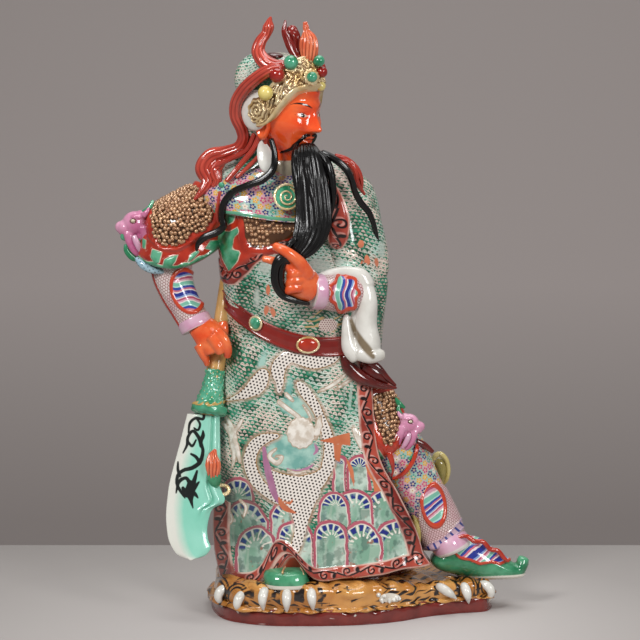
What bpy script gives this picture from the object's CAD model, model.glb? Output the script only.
"""Looks of the glazed porcelain general on its plinth.

Sizes are millimetres in the figure's own axes: x to the viewer's right, y away from the
viewer and h up from the top of the plinth's skin. The front drawing is a sheet in millimetres,
x to the right and y down, on which every painted motif of the front is laid out.
"""

import logging
import math
from collections.abc import Callable, Sequence
from dataclasses import dataclass, field
from enum import Enum

import bmesh
import bpy
import numpy as np
from mathutils import Matrix, Vector


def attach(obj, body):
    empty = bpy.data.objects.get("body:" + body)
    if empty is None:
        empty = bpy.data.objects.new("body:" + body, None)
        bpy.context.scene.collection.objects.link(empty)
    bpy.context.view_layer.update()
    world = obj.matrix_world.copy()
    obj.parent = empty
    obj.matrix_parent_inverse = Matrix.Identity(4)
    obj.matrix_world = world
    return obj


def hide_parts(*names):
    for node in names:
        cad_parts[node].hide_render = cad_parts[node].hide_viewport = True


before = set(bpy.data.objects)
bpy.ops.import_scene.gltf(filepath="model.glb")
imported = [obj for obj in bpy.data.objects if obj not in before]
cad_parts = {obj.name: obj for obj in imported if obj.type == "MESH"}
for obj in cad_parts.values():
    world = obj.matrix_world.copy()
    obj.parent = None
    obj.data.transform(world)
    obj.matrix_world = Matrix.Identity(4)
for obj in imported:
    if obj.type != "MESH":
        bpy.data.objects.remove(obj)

log = logging.getLogger("general")

Array = np.ndarray
Rows = Sequence[Sequence[float]]
Place = tuple[float, float, float]

NODE = "guan_yu_statue"
SKIN_TOP = 39.0
FIGURE_ORIGIN = np.array([-2.368, 8.2415, SKIN_TOP])

VIEW_DISTANCE = 2400.0
VIEW_RISE = math.radians(7.0)
VIEW_TARGET = np.array([-4.0, 0.0, 250.0])
SHEET_MIDDLE = 320.0


# ---- Reckoning -------------------------------------------------------------------------------


def smooth(value: Array) -> Array:
    """A soft step from 0 to 1 as value goes from 0 to 1."""
    held = np.clip(value, 0.0, 1.0)
    return held * held * (3.0 - 2.0 * held)


def bump(value: Array, centre: float, width: float) -> Array:
    """A bell of height 1 round centre."""
    return np.exp(-(((value - centre) / width) ** 2))


def crest(value: Array, width: float) -> Array:
    """A soft ridge of height 1 along 0 that ends at width on each side."""
    return smooth(1 - np.abs(value) / width)


def unit(vectors: Array) -> Array:
    """The vectors at length 1."""
    return vectors / np.maximum(np.linalg.norm(vectors, axis=-1, keepdims=True), 1e-9)


def course(rows: Rows, share: Array) -> Array:
    """Runs smoothly through rows of numbers.

    Args:
        rows: Rows of equal length, evenly spaced along the way.
        share: Shares of the way, from 0 to 1.

    Returns:
        One row of numbers for each share.
    """
    table = np.asarray(rows, float)
    last = len(table) - 1
    spot = np.clip(np.asarray(share, float), 0.0, 1.0) * last
    here = np.minimum(spot.astype(int), last - 1)
    t = (spot - here)[..., None]
    before, start = table[np.maximum(here - 1, 0)], table[here]
    end, after = table[here + 1], table[np.minimum(here + 2, last)]
    leave, arrive = (end - before) / 2, (after - start) / 2
    curve = (2 * start - 2 * end + leave + arrive) * t**3
    curve += (3 * end - 3 * start - 2 * leave - arrive) * t**2
    return curve + leave * t + start


def front_view(points: Array) -> Array:
    """Where points of the figure show on the front drawing."""
    off = points - VIEW_TARGET
    ahead = off[..., 1] * math.cos(VIEW_RISE) - off[..., 2] * math.sin(VIEW_RISE)
    rise = off[..., 1] * math.sin(VIEW_RISE) + off[..., 2] * math.cos(VIEW_RISE)
    near = VIEW_DISTANCE / (VIEW_DISTANCE + ahead)
    return np.stack([SHEET_MIDDLE + off[..., 0] * near, SHEET_MIDDLE - rise * near], -1)


def from_front(x: float, y: float, depth: float) -> Place:
    """The point of the figure at the given y that shows at (x, y) on the front drawing."""
    ahead = depth
    for _ in range(3):
        scale = (VIEW_DISTANCE + ahead) / VIEW_DISTANCE
        rise = (SHEET_MIDDLE - y) * scale
        h = (rise - depth * math.sin(VIEW_RISE)) / math.cos(VIEW_RISE)
        ahead = depth * math.cos(VIEW_RISE) - h * math.sin(VIEW_RISE)
    return VIEW_TARGET[0] + (x - SHEET_MIDDLE) * scale, depth, VIEW_TARGET[2] + h


# ---- Motifs on a drawing ---------------------------------------------------------------------


@dataclass
class Stroke:
    """How far places of a drawing lie from a brush stroke: outside its edge, along it and aside in half widths."""

    outside: Array
    along: Array
    aside: Array


def stroke(x: Array, y: Array, spine: Rows, steps: int = 48) -> Stroke:
    """Measures places against a brush stroke.

    Args:
        x: Places across the drawing.
        y: Places down the drawing.
        spine: Rows of x, y and half width along the stroke.
        steps: How many straight lengths stand for its curve.

    Returns:
        The distances of each place.
    """
    path = course(spine, np.linspace(0, 1, steps + 1))
    start, step = path[:-1], np.diff(path, axis=0)
    lengths = np.linalg.norm(step[:, :2], axis=1)
    before = np.concatenate([[0], np.cumsum(lengths)])[:-1]
    best = np.full(x.shape, 1e9)
    along, aside = np.zeros(x.shape), np.zeros(x.shape)
    for (sx, sy, sw), (dx, dy, dw), length, far in zip(start, step, lengths, before):
        t = np.clip(((x - sx) * dx + (y - sy) * dy) / max(length**2, 1e-9), 0, 1)
        off_x, off_y = x - sx - t * dx, y - sy - t * dy
        width = sw + t * dw
        outside = np.hypot(off_x, off_y) - width
        nearer = outside < best
        best = np.where(nearer, outside, best)
        along = np.where(nearer, far + t * length, along)
        turn = (off_x * dy - off_y * dx) / max(length, 1e-9)
        aside = np.where(nearer, turn / np.maximum(width, 0.1), aside)
    return Stroke(best, along, aside)


def brushed(x: Array, y: Array, paths: Sequence[Rows], steps: int = 48) -> Array:
    """Distance inside the nearest of several brush strokes, negative outside them all."""
    return -np.minimum.reduce([stroke(x, y, path, steps).outside for path in paths])


def polygon(x: Array, y: Array, corners: Rows) -> Array:
    """Distance outside a closed outline, negative inside it."""
    best = np.full(x.shape, 1e9)
    inside = np.zeros(x.shape, bool)
    for (ax, ay), (bx, by) in zip(corners, [*corners[1:], corners[0]]):
        dx, dy = bx - ax, by - ay
        t = np.clip(((x - ax) * dx + (y - ay) * dy) / (dx * dx + dy * dy), 0, 1)
        best = np.minimum(best, np.hypot(x - ax - t * dx, y - ay - t * dy))
        crosses = (ay > y) != (by > y)
        inside ^= crosses & (x < ax + (y - ay) * dx / (dy if dy else 1e-9))
    return np.where(inside, -best, best)


def oval(x: Array, y: Array, middle: Sequence[float], half: Sequence[float], lean: float = 0) -> Array:
    """Distance outside an ellipse, negative inside it; lean is in degrees."""
    c, s = math.cos(math.radians(lean)), math.sin(math.radians(lean))
    dx, dy = x - middle[0], y - middle[1]
    reach = np.hypot((dx * c + dy * s) / half[0], (dy * c - dx * s) / half[1])
    return (reach - 1) * min(half)


def patched(x: Array, y: Array, outlines: Sequence[Rows]) -> Array:
    """Distance inside the nearest of several outlines, negative outside them all."""
    return -np.minimum.reduce([polygon(x, y, outline) for outline in outlines])


def spotted(x: Array, y: Array, ovals: Rows) -> Array:
    """Distance inside the nearest of several ovals, by rows of middle, half sizes and any lean."""
    return -np.minimum.reduce([oval(x, y, row[:2], row[2:4], *row[4:]) for row in ovals])


# ---- Forms -----------------------------------------------------------------------------------


@dataclass
class Laid:
    """A grid of points laid over a form, row by row, before it becomes a mesh."""

    points: Array
    across: Array
    along: Array
    fields: dict[str, Array] = field(default_factory=dict)

    def normals(self) -> Array:
        """The outward direction at each point."""
        p = self.points
        round_way = np.gradient(p, axis=1)
        if np.allclose(p[:, 0], p[:, -1], atol=1e-6):
            seam = (p[:, 1] - p[:, -2]) / 2
            round_way[:, 0] = seam
            round_way[:, -1] = seam
        up_way = np.gradient(p, axis=0)
        out = np.cross(round_way, up_way)
        middle = p.mean(axis=1, keepdims=True)
        if (out * (p - middle)).sum() < 0:
            out = -out
        size = np.linalg.norm(out, axis=-1, keepdims=True)
        weak = size < 1e-7
        out = np.where(weak, 0.0, out / np.maximum(size, 1e-9))
        for row, beside in ((0, 1), (-1, -2)):
            if weak[row].all():
                out[row] = unit(out[beside].mean(axis=0))
        return out

    def raise_by(self, height: Array) -> "Laid":
        """Moves each point out by a height and returns the same grid."""
        self.points = self.points + self.normals() * np.asarray(height)[..., None]
        return self

    def front(self) -> tuple[Array, Array]:
        """Where the points show on the front drawing."""
        sheet = front_view(self.points)
        return sheet[..., 0], sheet[..., 1]

    def cloth(self) -> Array:
        """Distances over the form, from its middle column and its first row."""
        over = np.linalg.norm(np.diff(self.points, axis=1), axis=2)
        u = np.concatenate([np.zeros((len(over), 1)), np.cumsum(over, axis=1)], axis=1)
        u -= u[:, [u.shape[1] // 2]]
        up = np.linalg.norm(np.diff(self.points, axis=0), axis=2).mean(axis=1)
        v = np.broadcast_to(np.concatenate([[0], np.cumsum(up)])[:, None], u.shape)
        return np.stack([u, v], -1)


def stations(steps: int, ends: Sequence[float], rings: int = 5) -> tuple[Array, Array]:
    """Spaces the rows of a form whose two ends are closed.

    Args:
        steps: Rows between the ends.
        ends: The share of the way in which each end rounds over; 0 leaves it flat.
        rings: Rows over each end.

    Returns:
        The share of the way of each row, and its size from 0 to 1.
    """
    turn = np.linspace(0, math.pi / 2, rings)
    first, last = ends
    share = np.concatenate([
        first * (1 - np.cos(turn)),
        np.linspace(first, 1 - last, steps)[1:-1],
        1 - last * (1 - np.cos(turn[::-1])),
    ])
    size = np.concatenate([np.sin(turn), np.ones(steps - 2), np.sin(turn[::-1])])
    return share, size


def grid(share: Array, sides: int) -> tuple[Array, Array]:
    """Shares of the way round and along for every point of a form."""
    across, along = np.meshgrid(np.linspace(0, 1, sides + 1), share)
    return across, along


def column(rows: Rows, sides: int, steps: int, square: float,
           fold: Callable[[Array, Array], Array] | None = None, ends: Sequence[float] = (0, 0)) -> Laid:
    """Lays an upright form, with its seam at the back.

    Args:
        rows: Rows of height, middle x, middle y, half width and half depth.
        sides: Points round the form.
        steps: Rows up the form.
        square: 2 for an oval plan, more for a squarer one.
        fold: Adds to the plan's reach, by angle and share of the height.
        ends: As in stations.

    Returns:
        The laid form.
    """
    share, size = stations(steps, ends)
    across, along = grid(share, sides)
    angle = math.pi / 2 + math.tau * across
    h, x, y, width, depth = (part[:, None] for part in course(rows, share).T)
    c, s = np.cos(angle), np.sin(angle)
    reach = (np.abs(c) ** square + np.abs(s) ** square) ** (-1 / square)
    if fold:
        reach = reach + fold(angle, along)
    reach = reach * size[:, None]
    points = np.stack(np.broadcast_arrays(x + c * width * reach, y + s * depth * reach, h), -1)
    return Laid(points, across, along)


def limb(rows: Rows, sides: int, steps: int, facing: Place = (0, -1, 0),
         ends: Sequence[float] = (0.04, 0.04), swell: Callable[[Array, Array], Array] | None = None) -> Laid:
    """Lays a form along a path, with its seam away from facing.

    Args:
        rows: Rows of x, y, height, half width and half thickness.
        sides: Points round the form.
        steps: Rows along the form.
        facing: The direction that its flat side faces.
        ends: As in stations.
        swell: Multiplies the section, by angle and share of the way.

    Returns:
        The laid form.
    """
    share, size = stations(steps, ends)
    across, along = grid(share, sides)
    table = course(rows, share)
    spot = table[:, :3]
    step = course(rows, np.minimum(share + 0.01, 1)) - course(rows, np.maximum(share - 0.01, 0))
    ahead = unit(step[:, :3])
    side = unit(np.cross(unit(np.array(facing, float)), ahead))
    up = np.cross(ahead, side)
    angle = math.tau * across - math.pi / 2
    reach = size[:, None] * (swell(angle, along) if swell else 1.0)
    wide = (np.cos(angle) * reach * table[:, [3]])[..., None]
    thick = (np.sin(angle) * reach * table[:, [4]])[..., None]
    points = spot[:, None] + side[:, None] * wide + up[:, None] * thick
    return Laid(points, across, along)


def shell(outer: Callable[[Array, Array], Array], inner: Callable[[Array, Array], Array],
          wide: int, narrow: int, steps: int) -> Laid:
    """Lays a form that has an outer and an inner face, which meet along both edges.

    Args:
        outer: Gives the outer face's points by share across and share along.
        inner: Gives the inner face's points.
        wide: Points over the outer face.
        narrow: Points over the inner face.
        steps: Rows along the form.

    Returns:
        The laid form; across goes from 0 to 1 over the outer face and back again.
    """
    share, size = stations(steps, (0, 0), rings=3)
    over, along = np.meshgrid(np.linspace(0, 1, wide), share)
    under, along_under = np.meshgrid(np.linspace(1, 0, narrow), share)
    faces = [outer(over, along), inner(under, along_under)]
    points = np.concatenate([*faces, faces[0][:, :1]], axis=1)
    middle = points.mean(axis=1, keepdims=True)
    points = middle + (points - middle) * size[:, None, None]
    across = np.concatenate([over, under, over[:, :1]], axis=1)
    return Laid(points, across, np.broadcast_to(share[:, None], across.shape).copy())


def egg(middle: Place, half: Sequence[float], sides: int, steps: int,
        place: Callable[[Array], Array] | None = None, shape: Callable[[Array], Array] | None = None) -> Laid:
    """Lays an egg, with its poles up and down and its seam at the back.

    Args:
        middle: The middle of the egg.
        half: Its half sizes.
        sides: Points round it.
        steps: Rows from pole to pole.
        place: Takes the egg's own axes to the figure's; its own are right, ahead and up.
        shape: Moves the points about the middle before they are placed.

    Returns:
        The laid form.
    """
    across, along = grid(np.linspace(0, 1, steps + 1), sides)
    turn, rise = math.tau * across + math.pi / 2, math.pi * (along - 0.5)
    ball = np.stack([np.cos(rise) * np.cos(turn), np.cos(rise) * np.sin(turn), np.sin(rise)], -1)
    ball = ball * np.array(half, float)
    if shape:
        ball = shape(ball)
    points = ball + np.array(middle, float)
    return Laid(place(points) if place else points, across, along)


# ---- Meshes ----------------------------------------------------------------------------------


def to_frame(points: Array) -> Array:
    """Takes millimetres of the figure to metres of the part's frame."""
    return (points + FIGURE_ORIGIN) * 0.001


def write_fields(mesh: bpy.types.Mesh, points: Array, fields: dict[str, Array]) -> None:
    """Writes the front drawing and the painted motifs' distances to a mesh.

    Args:
        mesh: The mesh.
        points: Its vertices in millimetres of the figure.
        fields: One number a vertex, by name.
    """
    sheet = np.zeros((len(points), 3), np.float32)
    sheet[:, :2] = front_view(points)
    mesh.attributes.new("front", "FLOAT_VECTOR", "POINT").data.foreach_set("vector", sheet.ravel())
    for name, values in fields.items():
        layer = mesh.attributes.new(name, "FLOAT", "POINT")
        layer.data.foreach_set("value", np.asarray(values, np.float32).ravel())


def close_up(mesh: bpy.types.Mesh, gap: float = 2e-6) -> None:
    """Merges a mesh's seams and poles, points its faces outwards and smooths its shading."""
    bm = bmesh.new()
    bm.from_mesh(mesh)
    bmesh.ops.remove_doubles(bm, verts=bm.verts, dist=gap)
    bmesh.ops.recalc_face_normals(bm, faces=bm.faces)
    for face in bm.faces:
        face.smooth = True
    bm.to_mesh(mesh)
    bm.free()


def laid_mesh(name: str, laid: Laid) -> bpy.types.Mesh:
    """Makes the mesh of a laid form.

    Args:
        name: The mesh's name.
        laid: The form; its own map holds millimetres over its surface.

    Returns:
        The closed mesh.
    """
    rows, columns = laid.points.shape[:2]
    bm = bmesh.new()
    bm.loops.layers.uv.new("UVMap")
    bmesh.ops.create_grid(bm, x_segments=columns - 1, y_segments=rows - 1, size=0.5, calc_uvs=True)
    mesh = bpy.data.meshes.new(name)
    bm.to_mesh(mesh)
    bm.free()
    spots = np.empty(len(mesh.vertices) * 3, np.float32)
    mesh.vertices.foreach_get("co", spots)
    spots = spots.reshape(-1, 3)
    column_of = np.rint((spots[:, 0] + 0.5) * (columns - 1)).astype(int)
    row_of = np.rint((spots[:, 1] + 0.5) * (rows - 1)).astype(int)
    points = laid.points[row_of, column_of]
    mesh.vertices.foreach_set("co", to_frame(points).astype(np.float32).ravel())
    corner = np.empty(len(mesh.loops), np.int32)
    mesh.loops.foreach_get("vertex_index", corner)
    over = laid.cloth()[row_of, column_of][corner]
    mesh.uv_layers["UVMap"].data.foreach_set("uv", over.astype(np.float32).ravel())
    write_fields(mesh, points, {key: value[row_of, column_of] for key, value in laid.fields.items()})
    close_up(mesh)
    return mesh


def piece(name: str, mesh: bpy.types.Mesh, finish: "Finish") -> bpy.types.Object:
    """Makes a finished piece of the porcelain body.

    Args:
        name: The piece's name.
        mesh: Its mesh, in place.
        finish: Its finish.

    Returns:
        The piece.
    """
    made = bpy.data.objects.new(name, mesh)
    bpy.context.scene.collection.objects.link(made)
    mesh.materials.append(finish.glaze())
    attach(made, "root")
    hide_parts(NODE)
    log.info("%s: %d faces", name, len(mesh.polygons))
    return made


def lay(name: str, laid: Laid, finish: "Finish") -> bpy.types.Object:
    """Makes a piece from one laid form."""
    return piece(name, laid_mesh(name, laid), finish)


def joined_mesh(name: str, meshes: Sequence[bpy.types.Mesh]) -> bpy.types.Mesh:
    """Makes one mesh of several."""
    bm = bmesh.new()
    for part in meshes:
        bm.from_mesh(part)
    whole = bpy.data.meshes.new(name)
    bm.to_mesh(whole)
    bm.free()
    return whole


def lay_all(name: str, forms: Sequence[Laid], finish: "Finish") -> bpy.types.Object:
    """Makes one piece of several laid forms that only touch."""
    return piece(name, joined_mesh(name, [laid_mesh(name, form) for form in forms]), finish)


def mould(name: str, forms: Sequence[Laid], finish: "Finish", grain: float,
          soften: int, motifs: Callable[[Array], dict[str, Array]] | None = None) -> bpy.types.Object:
    """Makes one piece whose forms run into each other, as modelled clay does.

    Args:
        name: The piece's name.
        forms: The forms that are pressed together.
        finish: Its finish.
        grain: The size of the clay's faces, in millimetres.
        soften: How often the joins are smoothed over.
        motifs: Gives the painted motifs' distances for the vertices, in millimetres of the figure.

    Returns:
        The piece.
    """
    rough = bpy.data.objects.new(name + "_rough", joined_mesh(name, [laid_mesh(name, form) for form in forms]))
    bpy.context.scene.collection.objects.link(rough)
    press = rough.modifiers.new("press", "REMESH")
    press.mode = "VOXEL"
    press.voxel_size = grain * 0.001
    wipe = rough.modifiers.new("wipe", "SMOOTH")
    wipe.factor = 0.5
    wipe.iterations = soften
    depsgraph = bpy.context.evaluated_depsgraph_get()
    mesh = bpy.data.meshes.new_from_object(rough.evaluated_get(depsgraph))
    mesh.name = name
    bpy.data.objects.remove(rough)
    spots = np.empty(len(mesh.vertices) * 3, np.float32)
    mesh.vertices.foreach_get("co", spots)
    points = spots.reshape(-1, 3).astype(float) * 1000 - FIGURE_ORIGIN
    for layer in [one.name for one in mesh.attributes if one.name == "front"]:
        mesh.attributes.remove(mesh.attributes[layer])
    write_fields(mesh, points, motifs(points) if motifs else {})
    close_up(mesh)
    return piece(name, mesh, finish)


def studs(name: str, spots: Array, facing: Array, radius: float, finish: "Finish") -> bpy.types.Object:
    """Makes one piece of many small domes.

    Args:
        name: The piece's name.
        spots: The middles of the domes, in millimetres of the figure.
        facing: The direction that each dome faces.
        radius: The radius of a dome.
        finish: Their finish.

    Returns:
        The piece.
    """
    bm = bmesh.new()
    for spot, way in zip(to_frame(spots), facing):
        turn = Vector(way).to_track_quat("Z", "Y").to_matrix().to_4x4()
        matrix = Matrix.Translation(Vector(spot)) @ turn
        bmesh.ops.create_uvsphere(bm, u_segments=8, v_segments=5, radius=radius * 0.001, matrix=matrix)
    mesh = bpy.data.meshes.new(name)
    bm.to_mesh(mesh)
    bm.free()
    close_up(mesh, 1e-8)
    return piece(name, mesh, finish)


def scatter(laid: Laid, pitch: float, wanted: Array) -> tuple[Array, Array]:
    """Picks evenly spread points of a laid form.

    Args:
        laid: The form.
        pitch: The distance between the points.
        wanted: True where points may lie.

    Returns:
        The points and the outward directions there.
    """
    over = laid.cloth()
    facing = laid.normals()
    height = pitch * 0.87
    row = np.rint(over[..., 1] / height)
    shift = (row % 2) * pitch / 2 + 0.7 * np.sin(row * 5.1)
    place = np.rint((over[..., 0] - shift) / pitch)
    wobble = pitch * 0.16
    miss = np.hypot(over[..., 0] - shift - place * pitch + wobble * np.sin(place * 7.3 + row * 3.1),
                    over[..., 1] - row * height + wobble * np.sin(place * 4.7 - row * 5.9))
    best: dict[tuple[int, int], tuple[float, int, int]] = {}
    for j, i in zip(*np.nonzero(wanted & (miss < pitch * 0.4))):
        key = (int(row[j, i]), int(place[j, i]))
        if key not in best or miss[j, i] < best[key][0]:
            best[key] = (miss[j, i], j, i)
    picked = [(j, i) for _, j, i in best.values()]
    return np.array([laid.points[p] for p in picked]), np.array([facing[p] for p in picked])


def traced(*rows: Sequence[float]) -> list[tuple[float, ...]]:
    """Limb rows from places of the front drawing: x, y, depth, half width and half thickness if it differs."""
    return [(*from_front(*row[:3]), row[3], row[-1]) for row in rows]


def spot_on(laid: Laid, x: float, y: float) -> tuple[Array, Array]:
    """The point and outward direction of a form's near side that show at (x, y) on the front drawing."""
    normals = laid.normals()
    sheet_x, sheet_y = laid.front()
    miss = np.hypot(sheet_x - x, sheet_y - y) + np.where(normals[..., 1] < 0.15, 0, 1e3)
    spot = np.unravel_index(np.argmin(miss), miss.shape)
    return laid.points[spot], normals[spot]


def strap(rows: Rows, sides: int, steps: int, ends: Sequence[float]) -> Laid:
    """Lays a form between two edges of the front drawing.

    Args:
        rows: Rows of x and y of its left or lower edge, of its right or upper edge, depth and half thickness.
        sides: Points round the form.
        steps: Rows along the form.
        ends: As in stations.

    Returns:
        The laid form.
    """
    share, size = stations(steps, ends)
    across, along = grid(share, sides)
    xa, ya, xb, yb, depth, thick = course(rows, share).T
    first, second = np.stack(from_front(xa, ya, depth), -1), np.stack(from_front(xb, yb, depth), -1)
    angle = math.tau * across - math.pi / 2
    reach = (second - first)[:, None] / 2 * (np.cos(angle) * size[:, None])[..., None]
    points = (first + second)[:, None] / 2 + reach
    points[..., 1] -= np.sin(angle) * (size * thick)[:, None]
    return Laid(points, across, along)


def overlay(laid: Laid, keep: Array, lift: Array | float, sink: float) -> Laid:
    """A copy of a form that stands out of it where keep is positive and lies under it elsewhere."""
    copy = Laid(laid.points.copy(), laid.across, laid.along)
    return copy.raise_by(np.where(keep > 0, np.broadcast_to(lift, keep.shape), -sink))


# ---- Finishes --------------------------------------------------------------------------------


def tint(code: str) -> tuple[float, float, float, float]:
    """An enamel's colour as linear light, from its six-figure code."""
    parts = [int(code[i : i + 2], 16) / 255 for i in (1, 3, 5)]
    linear = [c / 12.92 if c <= 0.04045 else ((c + 0.055) / 1.055) ** 2.4 for c in parts]
    return (linear[0], linear[1], linear[2], 1.0)


class Amount:
    """A number or colour that is worked out on a material's bench."""

    def __init__(self, bench: "Bench", socket: bpy.types.NodeSocket) -> None:
        """Holds the output that gives it."""
        self.bench = bench
        self.socket = socket

    def maths(self, operation: str, *others: "Amount | float") -> "Amount":
        """The outcome of one Math node."""
        return self.bench.maths(operation, self, *others)

    def __add__(self, other: "Amount | float") -> "Amount":
        """The sum."""
        return self.maths("ADD", other)

    __radd__ = __add__

    def __sub__(self, other: "Amount | float") -> "Amount":
        """The difference."""
        return self.maths("SUBTRACT", other)

    def __rsub__(self, other: float) -> "Amount":
        """The difference from a number."""
        return self.bench.maths("SUBTRACT", other, self)

    def __mul__(self, other: "Amount | float") -> "Amount":
        """The product."""
        return self.maths("MULTIPLY", other)

    __rmul__ = __mul__

    def __truediv__(self, other: "Amount | float") -> "Amount":
        """The share."""
        return self.maths("DIVIDE", other)

    def __abs__(self) -> "Amount":
        """The size without its sign."""
        return self.maths("ABSOLUTE")

    def floor(self) -> "Amount":
        """The whole number below."""
        return self.maths("FLOOR")

    def fract(self) -> "Amount":
        """What is left above the whole number below."""
        return self.maths("FRACT")

    def sin(self) -> "Amount":
        """The sine."""
        return self.maths("SINE")

    def cos(self) -> "Amount":
        """The cosine."""
        return self.maths("COSINE")

    def odd(self) -> "Amount":
        """1 for an odd whole number and 0 for an even one."""
        return (self * 0.5).fract() * 2

    def reach(self, other: "Amount") -> "Amount":
        """The distance from nought of a place this far and other far off."""
        return (self * self + other * other).maths("SQRT")

    def turn(self, other: "Amount") -> "Amount":
        """The angle at which (other, this) lies."""
        return self.maths("ARCTAN2", other)

    def below(self, edge: "Amount | float", soft: float = 0.25) -> "Amount":
        """1 where this is under the edge and 0 over it."""
        slope = (edge - self) * (0.5 / soft)
        node = slope.bench.node("Math", operation="ADD", use_clamp=True)
        slope.bench.plug(node.inputs[0], slope)
        node.inputs[1].default_value = 0.5
        return Amount(self.bench, node.outputs[0])

    def above(self, edge: "Amount | float", soft: float = 0.25) -> "Amount":
        """1 where this is over the edge and 0 under it."""
        return 1 - self.below(edge, soft)

    def painted(self, soft: float = 0.25) -> "Amount":
        """1 inside a motif and 0 outside it or where the piece has none."""
        return self.above(soft, soft)

    def near(self, middle: "Amount | float", half: "Amount | float", soft: float = 0.25) -> "Amount":
        """1 where this is within half of the middle."""
        return abs(self - middle).below(half, soft)


class Bench:
    """The node tree of one material, with short calls that lay nodes on it."""

    def __init__(self, name: str) -> None:
        """Starts the material's tree."""
        self.material = bpy.data.materials.new(name)
        self.material.use_nodes = True
        self.tree = self.material.node_tree
        self.shader = self.tree.nodes["Principled BSDF"]

    def node(self, kind: str, **settings: object) -> bpy.types.Node:
        """Lays one shader node and sets it."""
        made = self.tree.nodes.new("ShaderNode" + kind)
        for key, value in settings.items():
            setattr(made, key, value)
        return made

    def plug(self, socket: bpy.types.NodeSocket, value: object) -> None:
        """Gives a socket an amount, a colour's code or a plain number."""
        if isinstance(value, Amount):
            self.tree.links.new(value.socket, socket)
        elif isinstance(value, str):
            socket.default_value = tint(value)
        else:
            socket.default_value = value

    def maths(self, operation: str, *values: Amount | float) -> Amount:
        """Lays one Math node."""
        node = self.node("Math", operation=operation)
        for socket, value in zip(node.inputs, values):
            self.plug(socket, value)
        return Amount(self, node.outputs[0])

    def blend(self, share: Amount | float, under: Amount | str, over: Amount | str) -> Amount:
        """Lays one colour over another by a share."""
        node = self.node("Mix", data_type="RGBA")
        for socket, value in zip((node.inputs[0], node.inputs[6], node.inputs[7]), (share, under, over)):
            self.plug(socket, value)
        return Amount(self, node.outputs[2])

    def mottle(self, scale: float, under: str, over: str, soft: float = 0.0) -> Amount:
        """Lets two colours drift into each other, over a soft edge or all the way."""
        drift = self.cloud(scale)
        return self.blend(drift.above(0.5, soft) if soft else drift, under, over)

    def inlay(self, colour: Amount, motif: str, over: Amount | str, soft: float = 0.25) -> Amount:
        """Lays a colour over another inside a painted motif."""
        return self.blend(self.motif(motif).painted(soft), colour, over)

    def choose(self, spot: Amount, stops: Sequence[tuple[float, str]], sharp: bool = True) -> Amount:
        """Picks a colour by an amount from 0 to 1.

        Args:
            spot: The amount.
            stops: Where each colour starts, and its code.
            sharp: Whether the colours meet at once or run together.

        Returns:
            The colour.
        """
        node = self.node("ValToRGB")
        ramp = node.color_ramp
        ramp.interpolation = "CONSTANT" if sharp else "LINEAR"
        while len(ramp.elements) < len(stops):
            ramp.elements.new(0.5)
        for element, (start, code) in zip(ramp.elements, stops):
            element.position = start
            element.color = tint(code)
        self.plug(node.inputs[0], spot)
        return Amount(self, node.outputs[0])

    def split(self, socket: bpy.types.NodeSocket) -> tuple[Amount, Amount, Amount]:
        """The three numbers of a vector."""
        node = self.node("SeparateXYZ")
        self.tree.links.new(socket, node.inputs[0])
        return Amount(self, node.outputs[0]), Amount(self, node.outputs[1]), Amount(self, node.outputs[2])

    def over(self) -> tuple[Amount, Amount]:
        """The place over the surface, in millimetres, from the piece's own map."""
        u, v, _ = self.split(self.node("UVMap", uv_map="UVMap").outputs[0])
        return u, v

    def front(self) -> tuple[Amount, Amount]:
        """The place on the front drawing."""
        x, y, _ = self.split(self.node("Attribute", attribute_name="front").outputs["Vector"])
        return x, y

    def spot(self) -> tuple[Amount, Amount, Amount]:
        """The place in the part's frame, in metres."""
        return self.split(self.node("TexCoord").outputs["Object"])

    def motif(self, name: str) -> Amount:
        """A painted motif's distance or share."""
        return Amount(self, self.node("Attribute", attribute_name=name).outputs["Fac"])

    def cloud(self, scale: float, detail: float = 3.0) -> Amount:
        """A soft random drift from 0 to 1; scale is in lumps to the metre."""
        node = self.node("TexNoise")
        self.tree.links.new(self.node("TexCoord").outputs["Object"], node.inputs["Vector"])
        node.inputs["Scale"].default_value = scale
        node.inputs["Detail"].default_value = detail
        return Amount(self, node.outputs[0])

    def chance(self, across: Amount, along: Amount, salt: float = 0.0) -> Amount:
        """A random number from 0 to 1 for each cell of a pattern."""
        join = self.node("CombineXYZ")
        for socket, value in zip(join.inputs, (across + 0.5, along + 0.5, salt)):
            self.plug(socket, value)
        node = self.node("TexWhiteNoise", noise_dimensions="3D")
        self.tree.links.new(join.outputs[0], node.inputs["Vector"])
        return Amount(self, node.outputs[0])


@dataclass(frozen=True)
class Enamel:
    """A glossy fired enamel, whose tone drifts and thins a little over the body."""

    name: str
    tone: str
    shade: str
    roughness: float = 0.13
    metal: float = 0.0
    drift: float = 55.0
    ripple: float = 0.35
    coat: float = 0.5
    pits: str = ""

    def paint(self, b: Bench) -> Amount:
        """The colour over the surface."""
        colour = b.mottle(self.drift, self.tone, self.shade, 0.16)
        return b.blend(b.motif("pit"), colour, self.pits) if self.pits else colour

    def material(self) -> bpy.types.Material:
        """Fires the finish: its colour, its gloss and the roll of its surface."""
        b = Bench(self.name)
        b.plug(b.shader.inputs["Base Color"], self.paint(b))
        b.plug(b.shader.inputs["Roughness"], b.cloud(90.0) * 0.14 + (self.roughness - 0.06))
        b.shader.inputs["Metallic"].default_value = self.metal
        b.shader.inputs["Coat Weight"].default_value = self.coat * (1 - self.metal)
        b.shader.inputs["Coat Roughness"].default_value = 0.06
        roll = b.node("Bump")
        roll.inputs["Strength"].default_value = self.ripple
        roll.inputs["Distance"].default_value = 0.0012
        b.plug(roll.inputs["Height"], b.cloud(70.0, 4.0))
        b.tree.links.new(roll.outputs[0], b.shader.inputs["Normal"])
        return b.material


# ---- Painted patterns ------------------------------------------------------------------------


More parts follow.
